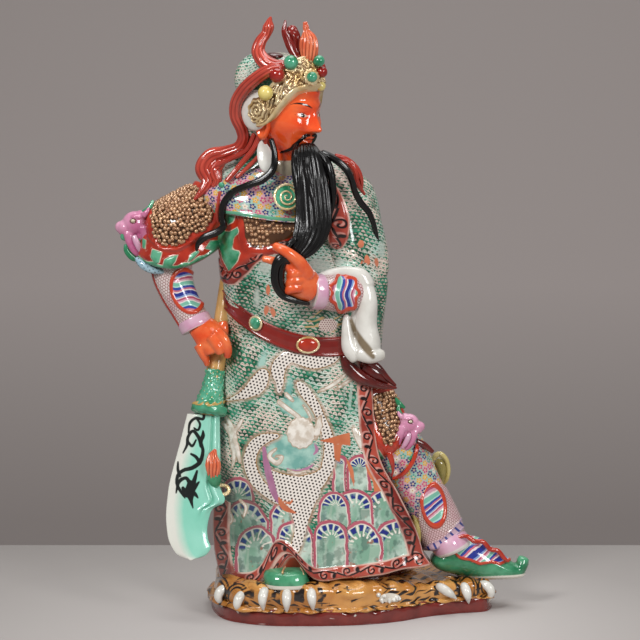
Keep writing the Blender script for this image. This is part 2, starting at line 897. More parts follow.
def brocade(b: Bench, u: Amount, v: Amount) -> Amount:
    """The robe's ground: warped rows of bowed pale scales on dark green enamel."""
    wide, high = 5.4, 3.5
    u = u + b.cloud(24.0) * 14 + b.cloud(120.0) * 3.4
    v = v + b.cloud(17.0) * 22 + b.cloud(105.0) * 3.0 + u * 0.24
    row = (v / high).floor()
    across = u / wide + row * 0.43
    fx, fy = across.fract() - 0.5, (v / high).fract() - 0.5
    bow = fy + fx * fx * 1.5 - 0.14
    size = b.cloud(28.0) * 1.15 + b.chance(across.floor(), row) * 0.2 - 0.31
    pale = (fx * 0.84).reach(bow * 1.15).below(size, 0.1)
    green = b.choose(b.chance(across.floor(), row, 3.0), [(0, "#124834"), (0.22, "#1e6649"), (0.6, "#3a8a6d")])
    ground = b.mottle(26.0, "#f0e0d2", "#c2dccf", 0.08)
    ground = b.blend(abs(bow).below(0.1, 0.06) * abs(fx).below(0.26, 0.05) * 0.8, ground, "#965c50")
    return b.blend(pale, green, ground)


def florets(b: Bench, u: Amount, v: Amount, pitch: float) -> Amount:
    """Close rows of full five-petalled flowers in violet, yellow, rose and aqua."""
    high = pitch * 0.86
    row = (v / high).floor()
    across = u / pitch + row.odd() * 0.5
    dx, dy = (across.fract() - 0.5) * pitch, ((v / high).fract() - 0.5) * high
    chance = b.chance(across.floor(), row)
    far = dx.reach(dy)
    lobes = abs((dy.turn(dx) * 2.5 + chance * 6).cos())
    flower = far.below(lobes * (pitch * 0.2) + pitch * 0.25, 0.25)
    enamel = b.choose(chance, [(0, "#28286f"), (0.4, "#d6a53f"), (0.64, "#bf4f75"), (0.84, "#4f9f8c"),
                               (0.93, "#e4dacd")])
    ground = b.blend(b.cloud(75.0).above(0.52, 0.06), "#9dbfb3", "#d1a2aa")
    colour = b.blend(flower, ground, enamel)
    colour = b.blend(lobes.below(0.3, 0.2) * far.above(pitch * 0.15, 0.3) * flower * 0.5, colour, "#e9ddd2")
    colour = b.blend(far.below(pitch * 0.14, 0.25), colour, "#f0dcb4")
    return b.blend(far.below(pitch * 0.065, 0.2), colour, "#74262f")


def dotted(u: Amount, v: Amount, pitch: float, size: float) -> Amount:
    """1 on the dots of offset rows."""
    row = (v / (pitch * 0.8)).floor()
    dx = ((u / pitch + row.odd() * 0.5).fract() - 0.5) * pitch
    dy = ((v / (pitch * 0.8)).fract() - 0.5) * pitch * 0.8
    return dx.reach(dy).below(size, 0.25)


def clouded_stripes(b: Bench, u: Amount, v: Amount) -> Amount:
    """Wavy bands of blue, rose, aqua and white, as in the sleeve and shin windows."""
    bend = (u * 0.24).sin() * 1.6 + b.cloud(50.0) * 5.0
    return b.choose(((v + bend) / 21).fract(), [
        (0, "#26358c"), (0.17, "#7c97c9"), (0.25, "#e4d9d6"), (0.3, "#b3506c"), (0.39, "#d69fb0"),
        (0.47, "#e4ded8"),
        (0.52, "#79b9a4"), (0.68, "#a9d3c6"), (0.74, "#31489c"), (0.86, "#c2687f"), (0.94, "#e2d4d2"),
    ])


SCROLL_PITCH = 24.0
BORDER_WIDTH = 13.0


def scrolls(way: Amount, share: Amount) -> Amount:
    """1 on the black brushed scrolls of a border; share goes from 0 to 1 over its width."""
    phase = way / SCROLL_PITCH
    side = 1 - phase.floor().odd() * 2
    dx = (phase.fract() - 0.5) * SCROLL_PITCH
    dy = (share - 0.5) * BORDER_WIDTH * side
    far = dx.reach(dy - 0.6)
    arm = abs((far / 4.0 - (dy - 0.6).turn(dx) * (0.5 / math.pi)).fract() - 0.5)
    curl = arm.below(0.2, 0.08) * far.below(4.8, 0.3)
    stem = (dy + (dx * (math.pi / SCROLL_PITCH)).cos() * 3.8 - 0.6).near(0, 0.9, 0.3) * far.above(4.2, 0.3)
    leaf = (dx - 9.5).reach((dy - 2.2) * 0.7).below(1.9, 0.5)
    return curl.maths("MAXIMUM", stem).maths("MAXIMUM", leaf)


WAVES = (
    # the rearmost first: middle of a crest across the drawing, its top, half its width and its foot
    (340, 455, 8, 490), (359, 454, 12, 490), (238, 477, 18, 505), (387, 486, 24, 530), (354, 488, 21, 530),
    (334, 490, 16, 532), (288, 498, 19, 540), (245, 499, 24, 545), (397, 518, 22, 572), (361, 521, 22, 572),
    (256, 526, 21, 575), (295, 520, 20, 570), (331, 520, 18, 572),
)


def waves(b: Bench, x: Amount, y: Amount, colour: Amount) -> Amount:
    """Lays breaking wave crests, outlined in rose and dashed in blue with white curls, over a colour."""
    x, y = x + b.cloud(45.0) * 9 - 4.5, y + b.cloud(38.0) * 8 - 4
    depth, angle = x * 0 - 9, x * 0
    for middle, top, half, foot in WAVES:
        dx, dy = x - middle, (y - top - half * 1.1).maths("MINIMUM", 0.0)
        inside = half - dx.reach(dy * 0.91)
        here = inside.above(-0.3, 0.1) * y.below(foot, 0.1)
        depth = depth + (inside - depth) * here
        angle = angle + ((0 - dy).turn(dx) - angle) * here
    spoke = (angle * 2.2 + 0.2 + b.cloud(70.0) * 0.5).fract()
    over = angle.near(math.pi / 2, 1.5, 0.1)
    sea = b.mottle(48.0, "#7fa992", "#bcd2c4", 0.1)
    sea = b.blend(b.cloud(95.0).above(0.54, 0.05) * 0.8, sea, "#55796a")
    sea = b.blend(b.cloud(150.0, 1.0).above(0.69, 0.03) * 0.7, sea, "#a2604c")
    dash = depth.near(6.4, 2.6) * abs(spoke - 0.5).above(0.2, 0.04) * b.cloud(60.0).above(0.4, 0.04)
    sea = b.blend(dash * over, sea, "#262f80")
    tooth = depth.near(8.2, 4.6, 0.5) * spoke.near(0.5, 0.11, 0.05)
    foam = depth.near(12.4, 1.3) * spoke.near(0.36, 0.22, 0.06)
    sea = b.blend(tooth.maths("MAXIMUM", foam) * over, sea, "#ebe6d9")
    sea = b.blend(depth.near(3.2, 0.6), sea, "#e0d6cc")
    sea = b.blend(depth.near(1.3, 1.6), sea, b.mottle(80.0, "#a23a50", "#c2707e"))
    return b.blend(depth.painted(), colour, sea)


def border(b: Bench, way: Amount, share: Amount) -> Amount:
    """A dark red enamel border with pale rims and black scrolls."""
    drift = b.cloud(15.0).above(0.5, 0.12)
    colour = b.blend(drift, "#741a12", "#b9503f")
    colour = b.blend(scrolls(way + 1.6, share - 0.09) * (drift * 0.7 + 0.25), colour, "#d9a297")
    colour = b.blend(scrolls(way, share), colour, "#170a09")
    colour = b.blend(share.below(0.1, 0.04) * b.cloud(50.0).above(0.4, 0.1), colour, "#d8b3a4")
    return b.blend(share.above(0.9, 0.04) * b.cloud(40.0).above(0.42, 0.1), colour, "#dcc0b2")


@dataclass(frozen=True)
class Brocade(Enamel):
    """The green-feathered robe, with coral petals and a spiral shell where they are laid out."""

    def paint(self, b: Bench) -> Amount:
        """Cups over the whole piece, then its motifs."""
        u, v = b.over()
        colour = brocade(b, u, v)
        colour = b.blend(b.motif("faded").above(0.5, 0.3) * 0.8, colour,
                         b.mottle(50.0, "#a9cbbf", "#d4cdc4"))
        colour = b.blend(b.motif("stalk").painted() * 0.85, colour, "#dcd8ca")
        colour = b.inlay(colour, "petal", b.mottle(80.0, "#cf6a48", "#e79673"))
        shell = b.blend(dotted(u, v, 2.5, 0.62), "#dccbc2", "#6d2f3a")
        colour = b.inlay(colour, "shell", shell)
        colour = b.inlay(colour, "shellrim", "#c9a878")
        way, share = b.motif("way"), b.motif("trim")
        return b.blend(share.near(0.5, 0.47, 0.03), colour, border(b, way, share))


@dataclass(frozen=True)
class SkirtCloth(Enamel):
    """The robe below the belt: feathers above, breaking waves below and a dragon over both."""

    def paint(self, b: Bench) -> Amount:
        """Ground, waves, dragon, the scrolled border, then the dark red lining."""
        u, v = b.over()
        x, y = b.front()
        colour = brocade(b, u, v)
        colour = b.blend(b.motif("faded").above(0.5, 0.3) * 0.8, colour,
                         b.mottle(50.0, "#9fc9bc", "#c9d3c6"))
        colour = b.blend(b.motif("deep") * 0.55, waves(b, x, y, colour), "#2f4638")
        pool = b.mottle(70.0, "#74aaa0", "#a9cfc2", 0.1)
        colour = b.inlay(colour, "pool", pool, 1.5)
        dragon = b.motif("dragon")
        colour = b.blend(dragon.above(-2.2, 0.9) * 0.45, colour, "#c9a08e")
        across, down = x + y * 0.35 + b.cloud(60.0) * 3, y - x * 0.2 + b.cloud(50.0) * 3
        scaly = b.blend(dotted(across, down, 3.9, 1.0), "#ebe3da", "#2b1f1b")
        colour = b.blend(dragon.painted(), colour, scaly)
        colour = b.blend(dragon.near(0.5, 0.45) * b.cloud(60.0).above(0.42, 0.06), colour, "#a07a4c")
        colour = b.inlay(colour, "rose", b.mottle(90.0, "#9a5a80", "#c48fae"))
        colour = b.inlay(colour, "coral", b.mottle(60.0, "#b8502a", "#df8e64"))
        pale = b.motif("pale")
        white = b.mottle(140.0, "#efe9df", "#cfc3b4", 0.1)
        colour = b.blend(pale.painted(), colour, white)
        colour = b.blend(pale.near(0.0, 0.4), colour, "#b8a08a")
        way, edge = b.motif("way"), b.motif("edge")
        colour = b.blend(edge.below(BORDER_WIDTH), colour, border(b, way, edge / BORDER_WIDTH))
        return b.blend(b.motif("lining").above(0.5), colour, b.mottle(30.0, "#8a1f14", "#b8452f"))


@dataclass(frozen=True)
class BackSkirtCloth(Enamel):
    """The back of the robe: feathers, a row of wave crests and the scrolled border at the hem."""

    hem: float = 37.0
    trim: float = 13.5
    repeat: float = 158.0
    left: float = 238.0
    foot: float = 572.0

    def paint(self, b: Bench) -> Amount:
        """Ground, the front's waves repeated by height, the border, then the dark red under the front."""
        u, v = b.over()
        rise = b.spot()[2] * 1000 - self.hem
        colour = waves(b, (u / self.repeat).fract() * self.repeat + self.left, self.foot - rise, brocade(b, u, v))
        colour = b.blend(rise.below(self.trim), colour, border(b, u, rise / self.trim))
        return b.blend(b.motif("lining").above(0.5), colour, b.mottle(30.0, "#4a0f0d", "#74211b"))


@dataclass(frozen=True)
class FloretCloth(Enamel):
    """The flowered silk of the collar and the trousers."""

    pitch: float = 8.4

    def paint(self, b: Bench) -> Amount:
        """Florets with a border where one is laid out."""
        u, v = b.over()
        colour = florets(b, u, v, self.pitch)
        return b.inlay(colour, "roll", b.mottle(60.0, "#2f8a62", "#7ab79a"))


@dataclass(frozen=True)
class DottedCloth(Enamel):
    """A pale rose undersleeve with brown dots, a red seam, a clouded window and a blue scroll band."""

    turned: float = 0.0

    def paint(self, b: Bench) -> Amount:
        """Dots, seam, then the window and its frame."""
        u, v = b.over()
        scale = b.mottle(45.0, "#e6dad6", "#dcbcc0", 0.1)
        colour = b.blend(dotted(u, v, 3.1, 1.22) * (1 - dotted(u, v, 3.1, 0.36) * 0.6), "#8d5c58", scale)
        band = b.motif("band")
        ribbon = b.blend((band * 0.9).sin().above(0.55, 0.2), "#cfb0c0", "#2f3f8a")
        colour = b.blend(band.above(0.3), colour, ribbon)
        colour = b.inlay(colour, "seam", b.mottle(60.0, "#8f1f12", "#b5382a"))
        window = b.motif("window")
        x, y = b.front()
        colour = b.blend(window.above(-3.0), colour, b.mottle(60.0, "#b53018", "#cf5034"))
        c, s = math.cos(self.turned * math.pi / 2), math.sin(self.turned * math.pi / 2)
        stripes = clouded_stripes(b, x * c + y * s, y * c + x * s + 8 * s)
        return b.blend(window.painted(), colour, stripes)


@dataclass(frozen=True)
class LeafedArmour(Enamel):
    """Red enamel armour with a pale-edged rim and a fringe of green leaves."""

    def paint(self, b: Bench) -> Amount:
        """Brown ground under the studs, red rim, green leaves."""
        leaf, pale = b.motif("leaf"), b.motif("pale")
        red = b.mottle(45.0, "#9c2414", "#c03a22", 0.12)
        green = b.mottle(60.0, "#1f7a4f", "#62ab88", 0.1)
        colour = b.blend(leaf.painted(0.4), red, green)
        colour = b.blend(leaf.near(0.5, 0.35) * b.cloud(70.0).above(0.45, 0.1), colour, "#d9c4b0")
        colour = b.blend(pale.painted(), colour, "#cf8f83")
        return b.inlay(colour, "bed", "#4e2f18", 0.4)


@dataclass(frozen=True)
class TigerSkin(Enamel):
    """An ochre skin with slanting black brush strokes."""

    def paint(self, b: Bench) -> Amount:
        """Ochre that drifts, fine hairs, then the strokes."""
        x, y, z = b.spot()
        u = x * 1000 + b.cloud(30.0) * 9
        v = y * 1000 - z * 1500 + b.cloud(22.0) * 12
        ochre = b.mottle(26.0, "#b4742f", "#dba25a", 0.14)
        hairs = ((u + v * 1.4) * 1.9).sin().above(0.55, 0.4) * b.cloud(80.0).above(0.5, 0.2)
        colour = b.blend(hairs * 0.6, ochre, "#8a4a1e")
        wide, high = 15.0, 7.6
        row = (v / high).floor()
        across = u / wide + row * 0.37
        dx = (across.fract() - 0.5) * wide
        dy = ((v / high).fract() - 0.5) * high - dx * 0.34
        bold = b.chance(across.floor(), row)
        mark = abs(dy).below((1 - dx * dx * 0.024) * (bold * 2.9 - 0.2), 0.6)
        colour = b.blend(mark * bold.above(0.2, 0.05) * b.motif("bare").below(0.5, 0.2), colour, "#1f1512")
        colour = b.inlay(colour, "white", "#ddd6c9")
        return b.inlay(colour, "mark", "#1d1310")


@dataclass(frozen=True)
class BladeGlaze(Enamel):
    """Aqua glaze that thins to white at the cutting edge, with a black scrolling vine."""

    def paint(self, b: Bench) -> Amount:
        """Aqua, the thin edge, then the vine."""
        thin = b.motif("thin") + b.cloud(30.0) * 0.3
        aqua = b.blend(b.motif("rib"), b.mottle(26.0, "#83cbb4", "#9ad8c4", 0.2), "#5fae93")
        colour = b.blend(thin.above(0.62, 0.24), aqua, "#dcdcd2")
        return b.inlay(colour, "vine", "#131a18", 0.3)


@dataclass(frozen=True)
class FaceGlaze(Enamel):
    """Coral glaze with fine dark brush lines for the brows, lashes and eyes."""

    def paint(self, b: Bench) -> Amount:
        """Coral, redder lips, then the painted lines."""
        colour = b.mottle(40.0, self.tone, self.shade, 0.15)
        colour = b.blend(b.motif("lips").painted(0.8) * 0.6, colour, "#a81d0e")
        colour = b.inlay(colour, "white", "#d9c3b2", 0.2)
        return b.inlay(colour, "line", "#1c1210")


@dataclass(frozen=True)
class BorderCloth(Enamel):
    """The scrolled red enamel of a border that is a piece of its own."""

    def paint(self, b: Bench) -> Amount:
        """The border over the piece's own map and trim."""
        return border(b, b.motif("way"), b.motif("trim"))


@dataclass(frozen=True)
class TwoTone(Enamel):
    """An enamel that gives way to a second one where a motif is laid out."""

    second: str = "#e9e4da"
    motif: str = "second"

    def paint(self, b: Bench) -> Amount:
        """First tone, recesses, then the second tone."""
        return b.inlay(super().paint(b), self.motif, self.second, 0.3)


class Finish(Enum):
    """Every finish on the figure."""

    ROBE = Brocade("robe_feathers", "#cdc2b4", "#a6c4b6")
    SKIRT = SkirtCloth("skirt_dragon_and_waves", "#cdc2b4", "#a6c4b6")
    SKIRT_BACK = BackSkirtCloth("skirt_back", "#cdc2b4", "#a6c4b6")
    FLORETS = FloretCloth("flowered_collar", "#a8c9bd", "#d9bfc4", pitch=7.6)
    TROUSERS = FloretCloth("flowered_trousers", "#a8c9bd", "#d9bfc4", pitch=7.0)
    SLEEVE = DottedCloth("dotted_undersleeve", "#ddc9c8", "#d9b4bd")
    TURNED_SLEEVE = DottedCloth("dotted_undersleeve_turned", "#ddc9c8", "#d9b4bd", turned=1.0)
    SLANTED_SLEEVE = DottedCloth("dotted_shin_guard", "#ddc9c8", "#d9b4bd", turned=0.42)
    ARMOUR = LeafedArmour("leafed_armour", "#9c2414", "#c03a22")
    TRIM = BorderCloth("scrolled_lapel", "#541210", "#93332c")
    TIGER = TigerSkin("tiger_skin", "#b4742f", "#dba25a", ripple=0.5)
    BLADE = BladeGlaze("glaive_blade", "#83cbb4", "#9ad8c4")
    FACE = FaceGlaze("coral_face", "#ea481b", "#f56d36", roughness=0.1)
    FLESH = Enamel("coral_hands", "#e04e20", "#f07946", roughness=0.1)
    SLAB = TwoTone("maroon_slab", "#651c16", "#7c2a23", roughness=0.1, second="#d8cfc6", motif="chip")
    MAROON = Enamel("maroon_belt", "#6d1611", "#8f261e", roughness=0.12, drift=30.0)
    DARK_RED = Enamel("dark_red_lining", "#3f0d0a", "#6e1b14", pits="#120403")
    RIBBON = Enamel("red_ribbon", "#a32a1c", "#c9503f", pits="#7a1a10", drift=30.0)
    FLAME = Enamel("coral_flame", "#cf4a26", "#e8835c", pits="#96301a")
    RED_BEAD = Enamel("red_bead", "#8e1710", "#a82a1e", roughness=0.08)
    GREEN_BEAD = Enamel("green_bead", "#12714a", "#5fb592", roughness=0.08, drift=90.0)
    YELLOW_BEAD = Enamel("yellow_bead", "#dcc566", "#ead98a", roughness=0.1)
    GREEN = Enamel("green_enamel", "#1f7a4f", "#5aa882")
    PALE_BLUE = TwoTone("pale_blue_enamel", "#a9c3cd", "#8fb3c4", second="#27323a", motif="fleck")
    PINK = Enamel("rose_mask", "#b85a86", "#dc9fbb", drift=40.0, pits="#8c3a60")
    CUFF = TwoTone("rose_cuff", "#cf97b4", "#dcbccb", second="#ddd6d2")
    WHITE = Enamel("white_lining", "#e6e4dd", "#d2cfc7", pits="#6f5a38")
    IVORY = Enamel("ivory_collar", "#cfc3ab", "#a39a84")
    YELLOW = Enamel("yellow_lining", "#b3a04a", "#cfc07e", pits="#5c5326")
    HAIR = Enamel("black_hair", "#060506", "#0f0e0f", roughness=0.2, pits="#020202", coat=0.0)
    WOOD = Enamel("tan_shaft", "#a97c42", "#d2a768")
    GOLD = Enamel("worn_gilding", "#d2ac6c", "#f4e4bd", roughness=0.2, metal=0.4, pits="#6a431c")
    BEADS = Enamel("gilt_studs", "#8a5f42", "#d2aa84", roughness=0.2, metal=0.45, drift=260.0)
    SOCKET = TwoTone("green_socket", "#2f8a60", "#62b394", second="#bd9a58", motif="gilt")
    SHOE = TwoTone("green_shoe", "#1f6e48", "#57a57c", second="#d8d3c6", motif="sole")
    VAMP = DottedCloth("striped_vamp", "#d8a9b2", "#e6e2de", turned=0.45)
    RED = Enamel("red_enamel", "#9c2414", "#c03a22")

    def glaze(self) -> bpy.types.Material:
        """The fired material, which is made once."""
        return bpy.data.materials.get(self.value.name) or self.value.material()


# ---- Plinth ----------------------------------------------------------------------------------


@dataclass
class Plinth:
    """The glossy slab, the tiger skin over it and the claws that hang over its front edge."""

    length: float = 278.0
    depth: float = 184.0
    slab_height: float = 14.0
    lip: float = 5.0
    skin_fall: float = 9.0
    middle: tuple[float, float] = (29.0, -4.0)
    claw_length: float = 19.5
    claw_radius: float = 4.3
    claws: Rows = (
        # share of the half length from the middle, how far the claw leans to the right and how low it hangs
        (-0.94, 0.05, 8), (-0.8, -0.1, 9), (-0.635, 0, 3), (-0.47, 0, 4), (-0.3, 0.1, 3), (0.625, 0.8, 0),
        (0.8, 0.2, 1), (0.965, 0.1, 1),
    )
    # x and y on the front drawing and half sizes
    chips: Rows = ((332, 619, 3.0, 0.9), (355, 616, 1.8, 1.6), (262, 624, 5, 0.6), (452, 611, 3, 0.6))
    fur: Rows = ((367, 571, 8, 4), (390, 598, 11, 5))
    # brush strokes on the front drawing, which make up the face of the skin
    brush: tuple[Rows, ...] = (
        ((331, 590, 0.4), (335, 584, 1.4), (342, 584, 0.6)), ((332, 591, 0.4), (338, 593, 1.2), (345, 588, 0.4)),
        ((322, 588, 0.4), (327, 598, 1.1), (330, 606, 0.3)), ((318, 594, 0.3), (321, 603, 1.1), (323, 608, 0.3)),
        ((344, 583, 0.3), (348, 588, 1.0), (347, 592, 0.3)), ((360, 572, 0.3), (367, 576, 1.5), (374, 572, 0.3)),
        ((346, 573, 0.3), (340, 577, 1.2), (333, 576, 0.3)), ((377, 584, 0.4), (388, 588, 1.3), (398, 588, 0.3)),
        ((347, 598, 0.3), (352, 601, 1.3), (358, 598, 0.3)), ((372, 590, 0.3), (378, 594, 1.0), (384, 594, 0.3)),
        ((352, 601, 0.8), (352, 606, 0.6)),
    )
    # x and y from the middle, in half lengths and half depths
    plan: Rows = (
        (1, -0.08), (0.95, 0.25), (0.75, 0.58), (0.4, 0.82), (0, 0.95), (-0.45, 1), (-0.85, 0.75),
        (-1, 0.3), (-0.99, -0.35), (-0.88, -0.75), (-0.62, -0.97), (-0.33, -1), (0.02, -0.96),
        (0.3, -0.82), (0.52, -0.6), (0.75, -0.45), (0.94, -0.36),
    )

    def rim(self, share: Array, inset: Array) -> Array:
        """Points of the rim in plan.

        Args:
            share: The share of the way round.
            inset: How far in from the rim.

        Returns:
            x and y of each point.
        """
        corners = np.array(self.plan) * (self.length / 2, self.depth / 2) + self.middle
        count = len(corners)
        spot = (np.asarray(share, float) % 1.0) * count
        here = spot.astype(int) % count
        t = (spot - np.floor(spot))[..., None]
        a, p, q, z = (corners[(here + k) % count] for k in (-1, 0, 1, 2))
        da, dp, dz = (np.sqrt(np.linalg.norm(e - f, axis=-1, keepdims=True)) for e, f in ((p, a), (q, p), (z, q)))
        leave = ((p - a) / da - (q - a) / (da + dp) + (q - p) / dp) * dp
        arrive = ((q - p) / dp - (z - p) / (dp + dz) + (z - q) / dz) * dp
        c2, c3 = 3 * (q - p) - 2 * leave - arrive, 2 * (p - q) + leave + arrive
        point = p + leave * t + c2 * t**2 + c3 * t**3
        ahead = unit(leave + 2 * c2 * t + 3 * c3 * t**2)
        inward = np.stack([-ahead[..., 1], ahead[..., 0]], -1)
        return point + inward * np.asarray(inset)[..., None]

    def along(self, share: float) -> float:
        """The x at a share of the half length from the middle."""
        return self.middle[0] + share * self.length / 2

    def skin_top(self, x: Array) -> Array:
        """The height of the skin's upper side above the ground."""
        fall = (x - self.along(0)) / (self.along(0.72) - self.along(0))
        return SKIN_TOP - self.skin_fall * smooth(fall)

    def turned(self, rows: Rows, sides: int, steps: int, wave: Callable[[Array, Array], Array]) -> Laid:
        """Lays a form over the plan.

        Args:
            rows: Rows of height, inset in lips, rise in skin heights and size of the plan.
            sides: Points round it.
            steps: Rows up it.
            wave: Adds to the inset, by x and share of the way up.

        Returns:
            The laid form.
        """
        share = np.linspace(0, 1, steps)
        across, along = grid(share, sides)
        height, inset, rise, size = (part[:, None] for part in course(rows, share).T)
        plan = self.rim(across, np.broadcast_to(inset * self.lip, across.shape))
        plan = self.rim(across, inset * self.lip + wave(plan[..., 0], along))
        heart = np.array([self.along(0), 0.0])
        plan = heart + (plan - heart) * size[..., None]
        rising = self.skin_top(plan[..., 0]) - self.slab_height
        h = height + rising * rise - SKIN_TOP
        return Laid(np.concatenate([plan, h[..., None]], -1), across, along)

    def claw_path(self, share: float, lean: float, sag: float) -> Rows:
        """The rows of a claw, from its place along the half length, its lean and how low it hangs."""
        x = self.along(share)
        shares = np.linspace(0.4, 1, 600)
        here = shares[np.argmin(np.abs(self.rim(shares, np.zeros(600))[:, 0] - x))]
        top = float(self.skin_top(np.array(x))) - self.claw_radius / 2 - sag
        rows = []
        for inset, drop, radius in ((1.6, 0.0, 0.6), (0.5, 0.02, 1.0), (-0.4, 0.2, 1.1), (-0.7, 0.45, 0.95),
                                    (-0.4, 0.7, 0.62), (-0.1, 0.9, 0.3), (0.1, 1.0, 0.1)):
            spot = self.rim(np.array(here), np.array(inset * self.lip))
            thick, fall = radius * self.claw_radius, drop * self.claw_length
            height = top - fall * (1 - 0.5 * abs(lean)) - SKIN_TOP
            rows.append((spot[0] + lean * fall, spot[1], height, thick, thick))
        return rows

    def build(self) -> None:
        """Makes the slab, the skin with its tufts and the claws."""
        paths = [self.claw_path(*claw) for claw in self.claws]
        self.make_slab()
        self.make_skin([front_view(np.array(path[2][:3])) for path in paths])
        lay_all("claws", [limb(path, 20, 30, facing=(1, 0, 0), ends=(0.05, 0.02)) for path in paths], Finish.WHITE)

    def make_slab(self) -> None:
        """Makes the slab with its wavy upper edge and its worn chips."""
        rows = [(0, 0.9, 0, 0), (0, 0.9, 0, 0.6), (0, 0.5, 0, 1), (0.8, 0.1, 0, 1), (3, 0, 0, 1), (8, 0.05, 0, 1),
                (12.5, 0.15, 0, 1), (14, 0.6, 0, 1), (14.3, 1.3, 0, 1), (14, 2, 0, 0.8), (14, 2, 0, 0)]
        slab = self.turned(rows, 240, 24, lambda x, up: 0.5 * np.sin(x * 0.3) * up)
        x, y = slab.front()
        along = slab.points[..., 0]
        ripple = 1.3 * np.sin(along * 0.21) + 0.8 * np.sin(along * 0.47)
        slab.points[..., 2] += bump(slab.along, 0.62, 0.16) * ripple
        slab.fields["chip"] = spotted(x, y, self.chips)
        lay("plinth_slab", slab, Finish.SLAB)

    def make_skin(self, claws: Sequence[Array]) -> None:
        """Makes the skin: its toes, its flat head with a brushed face, and the tufts of white fur.

        Args:
            claws: Where the claws show on the front drawing.
        """
        rows = [(13, 2, 0, 0), (13, 1.2, 0, 1), (14, 0.9, 0.1, 1), (14, 0.8, 0.4, 1), (14, 0.9, 0.72, 1),
                (14, 1.4, 0.9, 1),
                (14, 2.6, 1.0, 1), (14, 4, 1.02, 1), (14, 5, 1.02, 0.7), (14, 5, 1.0, 0.4), (14, 5, 1.0, 0)]
        skin = self.turned(rows, 230, 60, lambda x, up: 1.2 * np.sin(x * 0.19) * (1 - up))
        east, back = skin.points[..., 0], skin.points[..., 1]
        near = back < self.middle[1]
        x, y = skin.front()
        mounds = 1.6 * np.sin(east * 0.11 + 0.4) * np.sin(back * 0.09) + 0.9 * np.sin(east * 0.31 + back * 0.2)
        toes = np.maximum.reduce([bump(x, cx, 8) * bump(y, cy - 3, 9) for cx, cy in claws]) * near
        muzzle = smooth(1 - (oval(x, y, (353, 594), (19, 9)) + 9) / 9) * near
        skin.raise_by((mounds + 4.2 * muzzle) * smooth(skin.along / 0.15) + 3.4 * toes * smooth(skin.along / 0.1))
        rings = np.maximum.reduce([
            np.where(y < cy + 6, 1.0 - np.abs(oval(x, y, (cx, cy - 1), half)), -3)
            for cx, cy in claws for half in ((8, 10.5), (11, 14))
        ])
        freckles = 1.4 * np.cos(x * 1.7 + y * 0.4) * np.cos(y * 1.9) - 0.7
        dots = np.where(oval(x, y, (353, 593), (14, 6)) < 0, freckles, -2)
        mark = np.maximum.reduce([rings, dots, brushed(x, y, self.brush, 12)])
        skin.fields["mark"] = np.where(near, mark, -3)
        skin.fields["white"] = np.where(near, spotted(x, y, self.fur), -3)
        skin.fields["bare"] = smooth(1 - oval(x, y, (352, 592), (26, 12)) / 5) * near + 1.0 * (toes > 0.25)
        lay("tiger_skin", skin, Finish.TIGER)
        tufts = []
        for x, y, wide in ((367, 571, 7), (390, 598, 10)):
            for i in range(9):
                spot, out = spot_on(skin, x + wide * math.sin(i * 2.4), y + 3.2 * math.cos(i * 1.7))
                tip = spot + out * 2.4 + np.array([1.8 * math.sin(i * 3.1), 0, -1.6 + math.cos(i * 2.3)])
                rows = [(*(spot - out), 2.4, 2.4), (*(spot + out), 2.0, 2.0), (*tip, 0.7, 0.7)]
                tufts.append(limb(rows, 10, 10, ends=(0.1, 0.1)))
        lay_all("fur_tufts", tufts, Finish.WHITE)


# ---- Robe ------------------------------------------------------------------------------------


